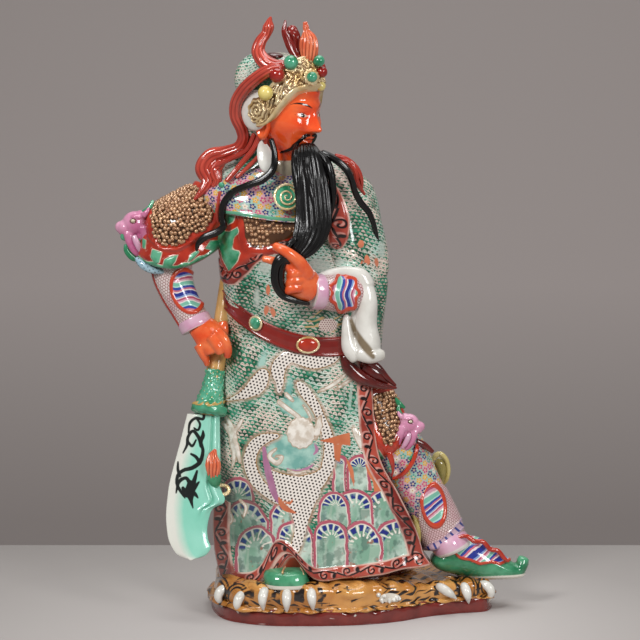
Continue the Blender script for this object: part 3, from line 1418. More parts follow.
@dataclass
class Skirt:
    """The robe below the belt: a front that hangs like an apron, and the back."""

    panel: Rows = (
        # height, left edge, right edge, front y, left edge y, right edge y
        (0, -104, 101, -80, -30, -46), (38, -111, 92, -78, -28, -48), (80, -110, 74, -75, -28, -52),
        (122, -108, 54, -73, -28, -52), (180, -103, 48, -69, -26, -48), (240, -97, 46, -62, -20, -36),
    )
    back: Rows = (
        (-3, -6, 4, 92, 64), (40, -9, 5, 92, 61), (90, -16, 6, 86, 58), (150, -24, 6, 79, 56),
        (200, -25, 4, 73, 51), (245, -23, 2, 72, 48),
    )
    thickness: float = 24.0
    foot_x: float = -36.0
    hem_slope: float = 0.11
    no_edge: float = 25.0
    # the rest is laid out on the front drawing
    coils: tuple[Rows, ...] = (
        ((224, 401, 1.4), (238, 397, 3.6), (250, 391, 7), (258, 384, 9.5), (263, 375, 7)),
        ((279, 391, 2.2), (280, 382, 4.6), (278, 371, 7.6), (282, 362, 7.6), (292, 356, 5)),
        ((286, 356, 4), (300, 359, 6.5), (314, 361, 8.5), (330, 358, 7), (339, 354, 3)),
        ((298, 383, 2.5), (304, 391, 6), (314, 404, 5.6), (321, 418, 5), (327, 434, 6), (330, 450, 6.6),
         (327, 468, 6.6), (321, 484, 4)),
        ((277, 436, 3), (264, 439, 6), (254, 447, 7), (250, 462, 7), (255, 478, 7), (265, 490, 6), (278, 500, 5)),
    )
    belly: Rows = (
        (268, 468), (283, 473), (298, 476), (314, 472), (326, 464), (326, 478), (321, 492), (314, 508), (308, 524),
        (304, 540), (299, 554), (290, 548), (295, 526), (290, 510), (279, 500), (268, 486),
    )
    plumes: tuple[Rows, ...] = (
        ((279, 402, 2.2), (288, 409, 2.2), (299, 417, 2)), ((286, 394, 1.8), (290, 398, 1.8), (293, 401, 1.2)),
        ((303, 405, 0.8), (308, 412, 1.4), (312, 420, 1)),
        ((223, 423, 1.6), (230, 432, 2.6), (236, 446, 3), (240, 462, 1.4)),
        ((226, 417, 1.6), (232, 427, 2.2), (236, 438, 1.6)), ((242, 420, 1.4), (238, 427, 2), (235, 432, 0.8)),
        ((230, 440, 1.2), (234, 456, 2.0), (232, 468, 0.8)), ((318, 392, 1.0), (334, 384, 2.0), (348, 372, 1.0)),
        ((335, 390, 1.0), (347, 382, 1.6), (358, 376, 0.8)),
        ((276, 456, 1.0), (282, 457, 1.6), (277, 463, 2.4), (269, 456, 2), (276, 449, 1.2)),
        ((353, 428, 1.4), (359, 437, 4.4), (361, 448, 1.2)), ((288, 470, 1), (296, 473, 1.4), (306, 471, 1)),
        ((240, 500, 1), (246, 507, 1.4), (244, 516, 1)), ((228, 508, 1), (232, 518, 1.3), (230, 524, 0.8)),
    )
    pools: Rows = ((292, 452, 28, 19), (299, 408, 23, 12, 12), (289, 388, 5, 15, 8), (262, 362, 5, 14, 20))
    roses: tuple[Rows, ...] = (
        ((264, 448, 2), (266, 462, 3.2), (270, 478, 4), (275, 494, 3.2), (281, 505, 1)),
        ((284, 467, 0.6), (296, 471, 1.4), (308, 468, 1.6), (314, 464, 0.8)),
        ((314, 443, 0.8), (317, 450, 2), (313, 455, 0.8)),
    )
    flames: tuple[Rows, ...] = (
        ((279, 497, 1), (284, 507, 3.4), (296, 513, 1.0)), ((283, 500, 0.6), (290, 503, 1.6), (293, 498, 0.4)),
        ((346, 458, 0.6), (351, 470, 2.4), (354, 486, 0.6)), ((365, 462, 0.6), (370, 474, 2.0), (377, 486, 0.6)),
    )
    corals: tuple[Rows, ...] = (
        ((317, 441), (350, 432), (351, 446)), ((333, 444), (342, 444), (340, 463), (334, 459)),
        ((372, 478), (383, 480), (388, 491), (374, 492)),
    )

    def outer(self, across: Array, up: Array, deep: float = 0.0) -> Array:
        """The front's points.

        Args:
            across: Shares across, from the left.
            up: Shares up.
            deep: 0 for the outer face and 1 for the inner one.

        Returns:
            The points.
        """
        h, left, right, front, left_y, right_y = np.moveaxis(course(self.panel, up), -1, 0)
        x = left + (right - left) * across
        edge = np.where(across < 0.5, left_y, right_y)
        bow = np.abs(2 * across - 1) ** 2.4
        low = 1 - up
        fold = 3.4 * low * np.cos(across * 21 + 1.2 * up) + 1.5 * np.cos(across * 11 - 4 * up)
        fold += 1.5 * low * np.cos(across * 43 - 5 * up) * smooth((across - 0.45) / 0.2)
        arch = bump(x, self.foot_x, 19) * np.maximum(0, 1 - up * 3)
        flare = 5 * smooth((0.1 - up) / 0.1) * smooth((across - 0.8) / 0.2)
        y = front + (edge - front) * bow + fold - 9 * arch - flare
        hem = low**2 * (1 + self.hem_slope * x) + 34 * arch * (1 - deep * 0.3)
        return np.stack([x + flare, y + self.thickness * deep, h + hem], -1)

    def front(self) -> Laid:
        """Lays the front with its dragon, waves and border."""
        wide = 132
        cloth = shell(self.outer, lambda a, u: self.outer(a, u, 1.0), wide, 14, 130)
        x, y = cloth.front()
        rise = cloth.points[..., 2]
        span = np.ptp(cloth.points[..., 0], axis=1)[:, None]
        right = (1 - cloth.across) * span * 0.85
        left = cloth.across * span * 0.72 + 60 * smooth((rise - 74) / 10)
        hem = rise - rise[2]
        hem[:2] = self.no_edge
        edge = np.minimum(np.minimum(right, left), hem)
        edge[:, wide:-1] = self.no_edge
        inner = np.zeros(edge.shape)
        inner[:, wide:-1] = 1
        inner[:2] = 1
        cloth.fields.update(lining=inner, edge=edge, way=np.where(hem < np.minimum(left, right), x, y + 7))
        dragon = np.maximum(brushed(x, y, self.coils), -polygon(x, y, self.belly))
        mane = spotted(x, y, ((301, 433, 14, 15.5), (318, 428, 3.4, 11, 12)))
        mane += 0.5 * np.sin(np.arctan2(y - 432, x - 303) * 15)
        pale = np.maximum(mane, brushed(x, y, self.plumes, 16))
        coral = np.maximum(patched(x, y, self.corals), brushed(x, y, self.flames, 12))
        cloth.fields.update(dragon=dragon, pale=pale, pool=spotted(x, y, self.pools),
                            rose=brushed(x, y, self.roses, 16), coral=coral)
        worn = smooth(1 - oval(x, y, (353, 386), (7, 20)) / 6) * (np.sin(x * 0.9 + y * 0.08) > 0.1)
        cloth.fields["faded"] = 0.7 * worn
        cloth.fields["deep"] = smooth((274 - x) / 20) * smooth((y - 474) / 20) * smooth((560 - y) / 25)
        rim = smooth((13.5 - edge) / 2.5) * smooth(edge / 2)
        lift = 0.9 * smooth((dragon + 0.6) / 2.4) + 1.6 * smooth(pale / 4) + 1.6 * rim
        return cloth.raise_by(lift * (cloth.along > 0))

    def build(self) -> None:
        """Makes the front and the back."""
        lay("robe_front", self.front(), Finish.SKIRT)
        back = column(self.back, 120, 76, square=2.3,
                      fold=lambda a, s: (1 - s) * (0.05 * np.cos(a * 6 + s) + 0.018 * np.cos(a * 14 + 2 * s)))
        hem = back.points[..., 2] - back.points[0, 0, 2]
        back.raise_by(1.2 * smooth((14 - hem) / 2))
        back.fields["lining"] = 1.0 * (back.points[..., 1] < -14)
        lay("robe_back", back, Finish.SKIRT_BACK)


@dataclass
class Body:
    """The robe over the chest and belly, the armour on the chest, the mantle and the belt."""

    torso: Rows = (
        (215, -24, 0, 71, 50), (245, -22, -3, 75, 57), (270, -22, -6, 77, 60), (305, -22, -5, 80, 58),
        (340, -24, -3, 82, 53), (368, -30, 0, 84, 48), (388, -38, 1, 84, 42), (402, -39, -1, 66, 36),
        (414, -38, -6, 42, 30), (428, -37, -14, 24, 24),
    )
    mantle: Rows = (
        (212, 14, 0, 40, 44), (240, 17, -2, 40, 50), (275, 20, -5, 42, 54), (312, 20, -6, 44, 54),
        (345, 16, -5, 43, 52), (374, 8, -4, 40, 48), (395, -2, -4, 36, 42), (412, -14, -6, 24, 30),
    )
    collar: Rows = (
        (352, -42, -12, 56, 48), (357, -44, -9, 66, 49), (376, -48, -6, 78, 46), (394, -45, -4, 62, 40),
        (402, -42, -8, 44, 34), (407, -40, -12, 26, 26),
    )
    belt_height: float = 19.0
    belt_middle: tuple[float, float] = (-22.0, -4.0)
    belt_half: tuple[float, float] = (76.0, 60.0)
    belt_level: float = 231.0
    crease_depth: float = 3.0
    petals: Rows = (
        # x and y on the drawing, half sizes and lean
        (268, 290, 2.7, 6.5, 0), (266.5, 310, 2.8, 6.5, 8), (274, 313, 2.6, 6, -10), (361, 244, 3.4, 4.4, 0),
        (367.5, 260, 2.8, 6.2, -14), (376.5, 262, 2.3, 6, -10), (362, 262, 1.6, 3, 30), (270, 345, 2, 3, 0),
        (339, 275, 2, 2.6, 0),
    )
    stalks: tuple[Rows, ...] = (
        ((268, 296, 0.7), (266, 305, 0.7)), ((269, 296, 0.7), (273, 307, 0.7)), ((266, 284, 0.9), (265, 275, 0.9)),
        ((360, 240, 0.8), (357, 228, 0.8)), ((362, 249, 0.7), (366, 255, 0.7)), ((364, 249, 0.7), (374, 256, 0.7)),
    )
    worn: Rows = (
        (318, 266, 17, 9), (257, 298, 5, 18), (340, 262, 10, 5), (265, 268, 9, 8), (346, 222, 5, 12),
        (382, 250, 5, 14), (240, 345, 9, 14), (262, 362, 12, 10),
    )
    creases: tuple[Rows, ...] = (
        ((247, 262, 0), (250, 285, 1), (246, 308, 0)), ((304, 262, 0), (296, 285, 1), (300, 316, 0)),
        ((330, 305, 0), (318, 318, 1), (300, 322, 0)),
    )
    mantle_creases: tuple[Rows, ...] = (
        ((350, 250, 0), (364, 252, 1), (376, 262, 1), (386, 276, 0)), ((346, 262, 0), (360, 262, 1), (374, 272, 0)),
        ((352, 180, 0), (362, 204, 1), (374, 226, 0)),
    )
    band: Rows = (
        (220, 258, 3), (223, 274, 4.5), (232, 279, 6), (244, 267, 6.5), (257, 256, 6.5), (272, 249, 5.5),
        (286, 243, 4),
    )
    lapel: Rows = (
        (329, 182, -55, 3), (333, 194, -58, 6, 3.5), (337, 208, -61, 8.5, 4), (339, 222, -62, 9.5, 4.5),
        (338, 234, -62, 9.5, 4.5), (337, 243, -61, 7, 4), (336, 248, -60, 2, 2),
    )
    plate: Rows = (
        (244, 213), (262, 216), (282, 219), (298, 222), (299, 232), (290, 239), (277, 243), (262, 249), (252, 248),
        (246, 238),
    )
    fringe: Rows = (
        (224, 212), (243, 210), (246, 240), (254, 250), (268, 251), (296, 243), (299, 248), (272, 254), (252, 258),
        (240, 266), (231, 273), (223, 266), (219, 240),
    )
    leaves: tuple[Rows, ...] = (
        ((226, 213), (238, 213), (236, 222), (229, 226)), ((222, 222), (226, 227), (224, 232), (219, 230)),
        ((219, 240), (222, 229), (231, 231), (240, 226), (242, 232), (236, 238), (235, 249), (243, 251), (240, 262),
         (231, 272), (225, 260)),
    )

    def build(self) -> None:
        """Makes each layer from the robe outwards."""
        self.make_robe()
        self.make_mantle()
        self.make_belt()
        self.make_collar()
        self.make_chest()

    def motifs(self, laid: Laid) -> None:
        """Lays out the coral petals, the spiral shell and the worn places on a piece."""
        x, y = laid.front()
        far = np.where(laid.points[..., 1] > 0, 9, 0)
        laid.fields["petal"] = spotted(x, y, self.petals) - far
        laid.fields["stalk"] = brushed(x, y, self.stalks, 4) - far
        shell_out = oval(x, y, (328, 325), (10, 7))
        laid.fields["shell"] = -shell_out - far
        rays = 1.4 * np.cos(np.arctan2(y - 327, x - 330) * 22) - 0.3
        ring = 4.2 - np.abs(shell_out - 5.6)
        laid.fields["shellrim"] = np.maximum(0.6 - np.abs(shell_out), np.minimum(rays, ring) * (y < 330)) - far
        laid.fields["faded"] = np.maximum.reduce([smooth(-oval(x, y, row[:2], row[2:]) / 4) for row in self.worn])

    def make_robe(self) -> None:
        """Makes the robe over the chest and belly."""
        robe = column(self.torso, 120, 96, square=2.2,
                      fold=lambda a, s: 0.012 * np.cos(a * 5 + 6 * s) * smooth((0.5 - s) / 0.3))
        x, y = robe.front()
        ahead = robe.points[..., 1] < 10
        robe.raise_by(-self.crease_depth * ahead * smooth(1 + brushed(x, y, self.creases, 16) / 7))
        self.motifs(robe)
        band = stroke(x, y, self.band)
        robe.fields["trim"] = np.where(ahead & (band.outside < 0), np.clip(band.aside, -1, 1) * 0.46 + 0.5, 0)
        robe.fields["way"] = band.along
        robe.raise_by(2.4 * smooth(-band.outside / 2) * ahead)
        lay("robe_body", robe, Finish.ROBE)

    def make_mantle(self) -> None:
        """Makes the robe over the left shoulder, with its turned red lapel."""
        robe = column(self.mantle, 120, 96, square=2.2,
                      fold=lambda a, s: (1 - s) * (0.05 * np.cos(a * 6 + 5 * s) + 0.02 * np.cos(a * 13 - 3 * s)))
        x, y = robe.front()
        ahead = robe.points[..., 1] < 10
        robe.raise_by(-self.crease_depth * ahead * smooth(1 + brushed(x, y, self.mantle_creases, 16) / 6))
        self.motifs(robe)
        robe.fields["trim"] = np.zeros(robe.across.shape)
        lay("robe_mantle", robe, Finish.ROBE)
        lapel = limb(traced(*self.lapel), 60, 90, ends=(0.03, 0.08))
        side = np.abs(lapel.across - 0.5) * 4
        lapel.raise_by(1.3 * crest(side - 0.9, 0.25) - 1.4 * smooth(1 - side / 0.5))
        lapel.fields["way"] = lapel.along * 62 + 3
        lapel.fields["trim"] = np.clip(0.5 + (lapel.across - 0.5) * 2.1, 0, 1)
        lay("lapel", lapel, Finish.TRIM)

    def belt_at(self, angle: Array, rise: Array, out: float) -> Array:
        """Points on the belt, by angle, height from its middle and distance from the robe."""
        out = out - 9 * smooth((np.cos(angle) - 0.6) / 0.2)
        x = self.belt_middle[0] + np.cos(angle) * (self.belt_half[0] + out)
        y = self.belt_middle[1] + np.sin(angle) * (self.belt_half[1] + out)
        return np.stack([x, y, self.belt_level + 0.0036 * (x - 8) ** 2 + rise], -1)

    def make_belt(self) -> None:
        """Makes the maroon belt and its jewels."""
        half = self.belt_height / 2
        turn = np.linspace(0, math.tau, 161)
        lip = [(half, -9), (half, 2), (half - 0.4, 3.6), (half - 1.6, 4.6), (half - 3, 4.2), (half - 4, 3.9)]
        profile = [*((-rise, out) for rise, out in lip), (0, 4.4), *lip[::-1]]
        rings = course(profile, np.linspace(0, 1, 40))
        angle, _ = np.meshgrid(turn + math.pi / 2, rings[:, 0])
        points = np.stack([self.belt_at(angle[0], rise, out) for rise, out in rings])
        belt = Laid(points, (angle - math.pi / 2) / (math.tau), np.zeros(angle.shape))
        lay("belt", belt, Finish.MAROON)
        for name, x, y, wide, high, finish in (
            ("belt_oval", 309, 345, 11.5, 8, Finish.RED), ("belt_round", 256, 324, 8, 7, Finish.GREEN_BEAD),
        ):
            spot, _ = spot_on(belt, x, y)
            out = unit(np.array([spot[0] - self.belt_middle[0], spot[1] - self.belt_middle[1], 0]))
            lay(name, gem(spot + out * 0.5, out, wide * 0.84, high * 0.84, 3.4), finish)
            lay(name + "_frame", frame_ring(spot + out * 0.5, out, wide * 0.92, high * 0.92, 1.2), Finish.GOLD)

    def make_collar(self) -> None:
        """Makes the flowered collar with its green roll, and the gilt spiral disc on it."""
        collar = column(self.collar, 120, 60, square=2.2, fold=lambda a, s: 0.012 * np.cos(a * 4 + 2))
        edge = 355 + 6.4 * smooth((-27 - collar.points[..., 0]) / 69)
        collar.points[..., 2] = np.maximum(collar.points[..., 2], edge - 2.4)
        roll = 1.9 - np.abs(collar.points[..., 2] - edge)
        collar.fields["roll"] = roll
        collar.raise_by(1.8 * smooth(roll / 2.4))
        lay("flowered_collar", collar, Finish.FLORETS)
        spot = np.array(from_front(287, 197, -62))
        out = unit(np.array([0.12, -1.0, 0.25]))
        lay("spiral_disc", gem(spot, out, 12.0, 12.0, 1.5), Finish.GREEN_BEAD)
        lay("spiral_disc_rim", frame_ring(spot + out * 0.6, out, 12.2, 12.2, 1.3), Finish.GOLD)
        lay("spiral_disc_coil", coil(spot + out * 1.5, out, 9.4, 2.2, 1.1), Finish.GOLD)

    def make_chest(self) -> None:
        """Makes the studded plate of the chest, its rim and its fringe of leaves and flames."""
        plate = column(self.torso, 132, 100, square=2.2)
        x, y = plate.front()
        inside = -polygon(x, y, self.plate)
        ahead = plate.points[..., 1] < -10
        spots, facing = scatter(plate, 4.3, ahead & (inside > 1.2))
        studs("chest_studs", spots + facing * 2.2, facing, 2.4, Finish.BEADS)
        fringe = -polygon(x, y, self.fringe)
        keep = ahead & (np.maximum(inside, fringe) > -2.0)
        plate.fields["leaf"] = np.where(inside > -3, -4, patched(x, y, self.leaves))
        plate.fields["bed"] = inside
        plate.fields["pale"] = 0.7 - np.abs(inside + 5.2)
        lift = 2.6 * smooth(np.maximum(inside, fringe) / 1.6 + 0.8) + 2.6 * crest(inside + 2.6, 2.6)
        lift += 1.4 * smooth(plate.fields["leaf"] / 2)
        plate.raise_by(np.where(keep, lift, -7.0))
        lay("chest_armour", plate, Finish.ARMOUR)


def set_on(spot: Array, out: Array, aside: Array, rise: Array, lift: Array) -> Array:
    """Points round a spot that faces out: so far level to the side, so far up and so far off it."""
    side = unit(np.cross(np.array([0.0, 0.0, 1.0]), out))
    up = np.cross(out, side)
    return spot + side * aside[..., None] + up * rise[..., None] + out * lift[..., None]


def gem(spot: Array, out: Array, wide: float, high: float, rise: float) -> Laid:
    """Lays a flat-backed oval gem.

    Args:
        spot: The middle of its back.
        out: The way it faces.
        wide: Half its width.
        high: Half its height.
        rise: How far it stands up.

    Returns:
        The laid gem.
    """
    across, along = grid(np.linspace(0, 1, 14), 36)
    angle, climb = math.tau * across, (along - 0.4) / 0.6 * math.pi / 2
    size = np.where(along < 0.4, along / 0.4, np.cos(np.maximum(climb, 0)))
    height = np.where(along < 0.4, -0.3, np.sin(np.maximum(climb, 0)))
    points = set_on(spot, out, np.cos(angle) * size * wide, np.sin(angle) * size * high, height * rise)
    return Laid(points, across, along)


def frame_ring(spot: Array, out: Array, wide: float, high: float, thick: float) -> Laid:
    """Lays a round-sectioned oval frame.

    Args:
        spot: Its middle.
        out: The way it faces.
        wide: Half the width of its middle line.
        high: Half the height of its middle line.
        thick: The radius of its section.

    Returns:
        The laid frame.
    """
    across, along = grid(np.linspace(0, 1, 49), 12)
    turn, round_way = math.tau * along, math.tau * across
    swell = thick * (1 + 0.14 * np.cos(turn * 16))
    reach_w, reach_h = wide + swell * np.cos(round_way), high + swell * np.cos(round_way)
    points = set_on(spot, out, np.cos(turn) * reach_w, np.sin(turn) * reach_h, swell * np.sin(round_way))
    return Laid(points, across, along)


def coil(spot: Array, out: Array, reach: float, turns: float, thick: float) -> Laid:
    """Lays a spiral wire on a face.

    Args:
        spot: The middle of the spiral.
        out: The way it faces.
        reach: Its outer radius.
        turns: How often it goes round.
        thick: The radius of the wire at its outer end.

    Returns:
        The laid spiral.
    """
    share = np.linspace(0.08, 1, 34)
    angle, far = math.tau * turns * share, reach * share
    places = set_on(spot, out, far * np.cos(angle), far * np.sin(angle), 0 * far)
    radius = (thick * (0.55 + 0.45 * share))[:, None]
    return limb(np.hstack([places, radius, radius]), 10, 110, facing=tuple(out))


# ---- Arms ------------------------------------------------------------------------------------


@dataclass
class RightArm:
    """The arm set on the hip: studded shoulder armour, a lion's mask, the undersleeve and the hand."""

    sleeve: Rows = (
        (-88, 4, 372, 22, 26), (-112, 2, 358, 33, 34), (-138, 0, 342, 36, 36), (-158, 0, 332, 33, 33),
        (-170, 2, 327, 20, 22),
    )
    fringe: Rows = (
        (142, 232, 216, 222, -2, 30), (139, 244, 220, 232, -3, 33), (138, 253, 223, 240, -4, 34),
        (141, 257, 221, 245, -4, 31),
    )
    forearm: Rows = (
        (172, 256, -2, 21), (171.5, 272, -3, 20.5), (177.5, 290, -8, 19), (186.5, 308, -13, 16.8),
        (194, 322, -17, 15.5),
    )
    # the rest is laid out on the front drawing
    patch: Rows = (
        (150, 216), (155, 204), (165, 195), (177, 188), (191, 185), (204, 191), (212, 205), (212, 220), (205, 230),
        (194, 233), (187, 240), (176, 246), (163, 245), (154, 236),
    )
    leaves: tuple[Rows, ...] = (
        ((152, 248), (163, 252), (160, 263), (155, 265), (150, 257)),
        ((162, 266), (164, 259), (170, 256), (179, 254), (176, 262), (170, 269)),
        ((186, 264), (190, 254), (198, 249), (200, 252), (194, 259)),
        ((204, 249), (210, 240), (222, 239), (226, 248), (212, 251)),
        ((142, 237), (147, 240), (146, 250), (142, 248)),
    )
    turnback: Rows = ((136, 258, -16, 2), (142, 264, -20, 4), (150, 269, -22, 4), (158, 271, -22, 3),
                      (165, 272, -20, 1.6))
    cuff: Rows = ((192.5, 318, -16, 15.5), (193.5, 320, -16.5, 17), (197, 326.5, -18.5, 17),
                  (198, 328.5, -19, 15.5))
    # the back of the hand by its two edges, and each finger with its sides, steps and rounded ends
    palm: Rows = (
        (188, 331, 211, 317, -22, 11), (194, 340, 220, 324, -30, 13), (199, 349, 227, 334, -36, 14),
        (204, 355, 229, 343, -40, 12), (206, 356, 229, 348, -41, 8),
    )
    fingers: tuple[tuple[Rows, int, int, Sequence[float]], ...] = (
        (((200, 344, -36, 7, 9), (204, 355, -38, 5, 8), (206.5, 361, -38, 3.6, 6), (207, 366, -37, 2.4, 4)), 32, 36,
         (0.05, 0.1)),
        (((216, 330, -44, 6), (224, 340, -48, 5.4), (227.5, 350, -47, 4.8), (227, 358, -44, 3.4)), 28, 36,
         (0.06, 0.1)),
        (((211, 336, -46, 6), (218, 347, -50, 5.2), (221, 354, -49, 4)), 28, 30, (0.06, 0.1)),
        (((223, 321, -28, 4.2), (224, 329, -30, 4.8), (223.5, 338, -32, 4)), 24, 26, (0.1, 0.12)),
    )

    def build(self) -> None:
        """Makes the arm from the shoulder down."""
        self.make_sleeve()
        self.make_forearm()
        self.make_hand()
        LionMask("shoulder", (135, 224), -2, 1.0, -1, (
            ((-7, -12, 4, 1.4), (-15, -16, 5, 3), (-18, -24, 4, 1.2)),
            ((9, 9, 6, 3), (11, 13, 5, 3.6), (6, 15, 5, 1.6)),
            ((9, 20, 6, 2), (8, 27, 6, 3), (2, 34, 6, 3), (-6, 36, 5, 1.6)),
            ((0, 14, 10, 1.2), (-3, 17, 10, 2.2), (-5, 15, 9, 1)),
        )).build()

    def dress(self, form: Laid, hem: Array | float = -9.0) -> Array:
        """Lays out the rim and the leaf fringe round the studded patch and returns the distance outside it."""
        x, y = form.front()
        near = form.points[..., 1] < 6
        out = np.where(near, polygon(x, y, self.patch), 20)
        leaf = np.maximum(hem, patched(x, y, self.leaves))
        form.fields["bed"] = -out - 0.8
        form.fields["leaf"] = np.where(out < 2, -9, leaf)
        form.fields["pale"] = 0.5 - np.abs(leaf + 1.0) - 9.0 * (np.sin(x * 0.7 + y) < 0.2)
        lift = 2.6 * crest(out - 3.8, 3.4) + 1.7 * smooth(leaf / 2) - 1.2 * smooth(-out / 2)
        form.raise_by(np.where(near, lift, 0.0))
        return out

    def make_sleeve(self) -> None:
        """Makes the puffed armour, its studs and the leafy skirt under it."""
        sleeve = limb(self.sleeve, 104, 72, ends=(0.1, 0.2))
        x, y = sleeve.front()
        spots, facing = scatter(sleeve, 4.1, (polygon(x, y, self.patch) < -0.6) & (sleeve.points[..., 1] < 0))
        studs("shoulder_studs", spots + facing * 0.5, facing, 2.35, Finish.BEADS)
        self.dress(sleeve)
        lay("shoulder_armour", sleeve, Finish.ARMOUR)
        fringe = strap(self.fringe, 140, 48, ends=(0.1, 0.06))
        x, _ = fringe.front()
        ahead = smooth((-fringe.points[..., 1] - 4) / 26)
        fringe.points[..., 2] -= 13 * ahead * smooth(fringe.along * 1.4) * bump(x, 178, 34)
        self.dress(fringe, (fringe.along - 0.74 + 0.05 * np.sin(x * 0.42)) * 40)
        lay("leaf_fringe", fringe, Finish.ARMOUR)
        cloth = limb(traced(*self.turnback), 40, 40)
        x, y = cloth.front()
        cloth.fields["fleck"] = 1.4 * np.cos(x * 1.0 + y * 0.4) * np.cos(y * 1.3 - x * 0.5) - 0.6
        lay("blue_turnback", cloth, Finish.PALE_BLUE)

    def make_forearm(self) -> None:
        """Makes the dotted undersleeve, its window frame and the rose cuff."""
        arm = limb(traced(*self.forearm), 96, 80, swell=lambda a, s: 1 + 0.015 * np.cos(a * 7 + 6 * s))
        x, y = arm.front()
        near = arm.points[..., 1] < 0
        window = -oval(x, y, (187.5, 291), (14, 20), -20)
        arm.fields["window"] = np.where(near, window, -9)
        arm.fields["seam"] = 2.4 - np.abs(arm.across - 0.67) * 110
        frame_lift = 1.6 * crest(window + 1.6, 2.2) - 0.8 * smooth(window / 3)
        arm.raise_by(frame_lift * near + 0.9 * smooth(arm.fields["seam"] / 2))
        lay("right_undersleeve", arm, Finish.SLEEVE)
        cuff = limb(traced(*self.cuff), 64, 30, ends=(0.12, 0.12))
        cuff.fields["second"] = (cuff.along - 0.8) * 9
        lay("right_cuff", cuff, Finish.CUFF)

    def make_hand(self) -> None:
        """Makes the hand: its back lies over the shaft and its fingers curl round behind it."""
        forms = [strap(self.palm, 48, 50, ends=(0.05, 0.12))]
        forms += [limb(traced(*rows), sides, steps, ends=ends) for rows, sides, steps, ends in self.fingers]
        mould("right_hand", forms, Finish.FLESH, grain=0.8, soften=8)


@dataclass
class LionMask:
    """A rose lion's mask that bites an armour plate; its places are out from the plate, down and to its side."""

    name: str
    middle: tuple[float, float]
    depth: float
    size: float
    way: int
    leaves: tuple[Rows, ...]

    def put(self, out: float, down: float, side: float) -> Place:
        """A point of the mask in the figure's axes."""
        x, y = self.middle[0] + self.way * out * self.size, self.middle[1] + down * self.size
        return from_front(x, y, self.depth - side * self.size)

    def ball(self, out: float, down: float, side: float, half: Sequence[float]) -> Laid:
        """An egg at a point of the mask; half runs out, to the side and down."""
        return egg(self.put(out, down, side), [h * self.size for h in half], 26, 16)

    def tuft(self, rows: Rows, flip: float) -> Laid:
        """A tapered curl through points of the mask, or its mirror image on the far side."""
        return limb([(*self.put(out, down, side * flip), wide * self.size, wide * self.size * 0.75)
                     for out, down, side, wide in rows], 18, 26, ends=(0.06, 0.06))

    def build(self) -> None:
        """Makes the mask, its eyes, its pale mouth and its green leaves."""
        forms = [self.ball(out, down, 0, half) for out, down, half in (
            (0, 0, (13, 13, 13)), (9, 4, (9, 10, 9)), (14, 3, (6, 6, 6)), (-6, -8, (7, 10, 6)),
            (-6, 12, (7, 10, 9)))]
        eyes, rings, tongues = [], [], []
        for side in (-1, 1):
            forms += [self.ball(-1, -7, side * 9, (6, 4, 2.6)), self.ball(16, 2.5, side * 3.4, (2.2, 2.4, 2))]
            forms += [self.tuft(rows, side) for rows in (
                ((7, 8, 7, 5), (5, 17, 8, 4.6), (0, 27, 8, 3.8), (-7, 33, 6, 2.4)),
                ((-9, 2, 8, 6), (-11, 12, 10, 5), (-13, 22, 9, 3.6), (-14, 30, 7, 2)),
                ((-8, -8, 9, 3.4), (-12, -12, 10, 2.6), (-14, -17, 9, 1)))]
            tongues.append(self.tuft(((1, 11, 11, 2), (-1, 17, 12, 3.2), (-5, 25, 11, 3), (-9, 31, 9, 1.6)), side))
            eyes.append(self.ball(2, -3, side * 12, (2.6, 2.2, 2)))
            spot = np.array(self.put(2, -3, side * 12.6))
            rings.append(frame_ring(spot, np.array([0.0, -side, 0.15]), 2.7 * self.size, 2.1 * self.size, 0.5))
        mould(self.name + "_mask", forms, Finish.PINK, grain=0.8, soften=4)
        lay_all(self.name + "_mask_eyes", eyes, Finish.IVORY)
        lay_all(self.name + "_mask_eye_rims", rings, Finish.DARK_RED)
        lay_all(self.name + "_mask_mouth", tongues, Finish.CUFF)
        leaves = [self.tuft(rows, side) for rows in self.leaves for side in (1, -1)]
        lay_all(self.name + "_mask_leaves", leaves, Finish.GREEN)


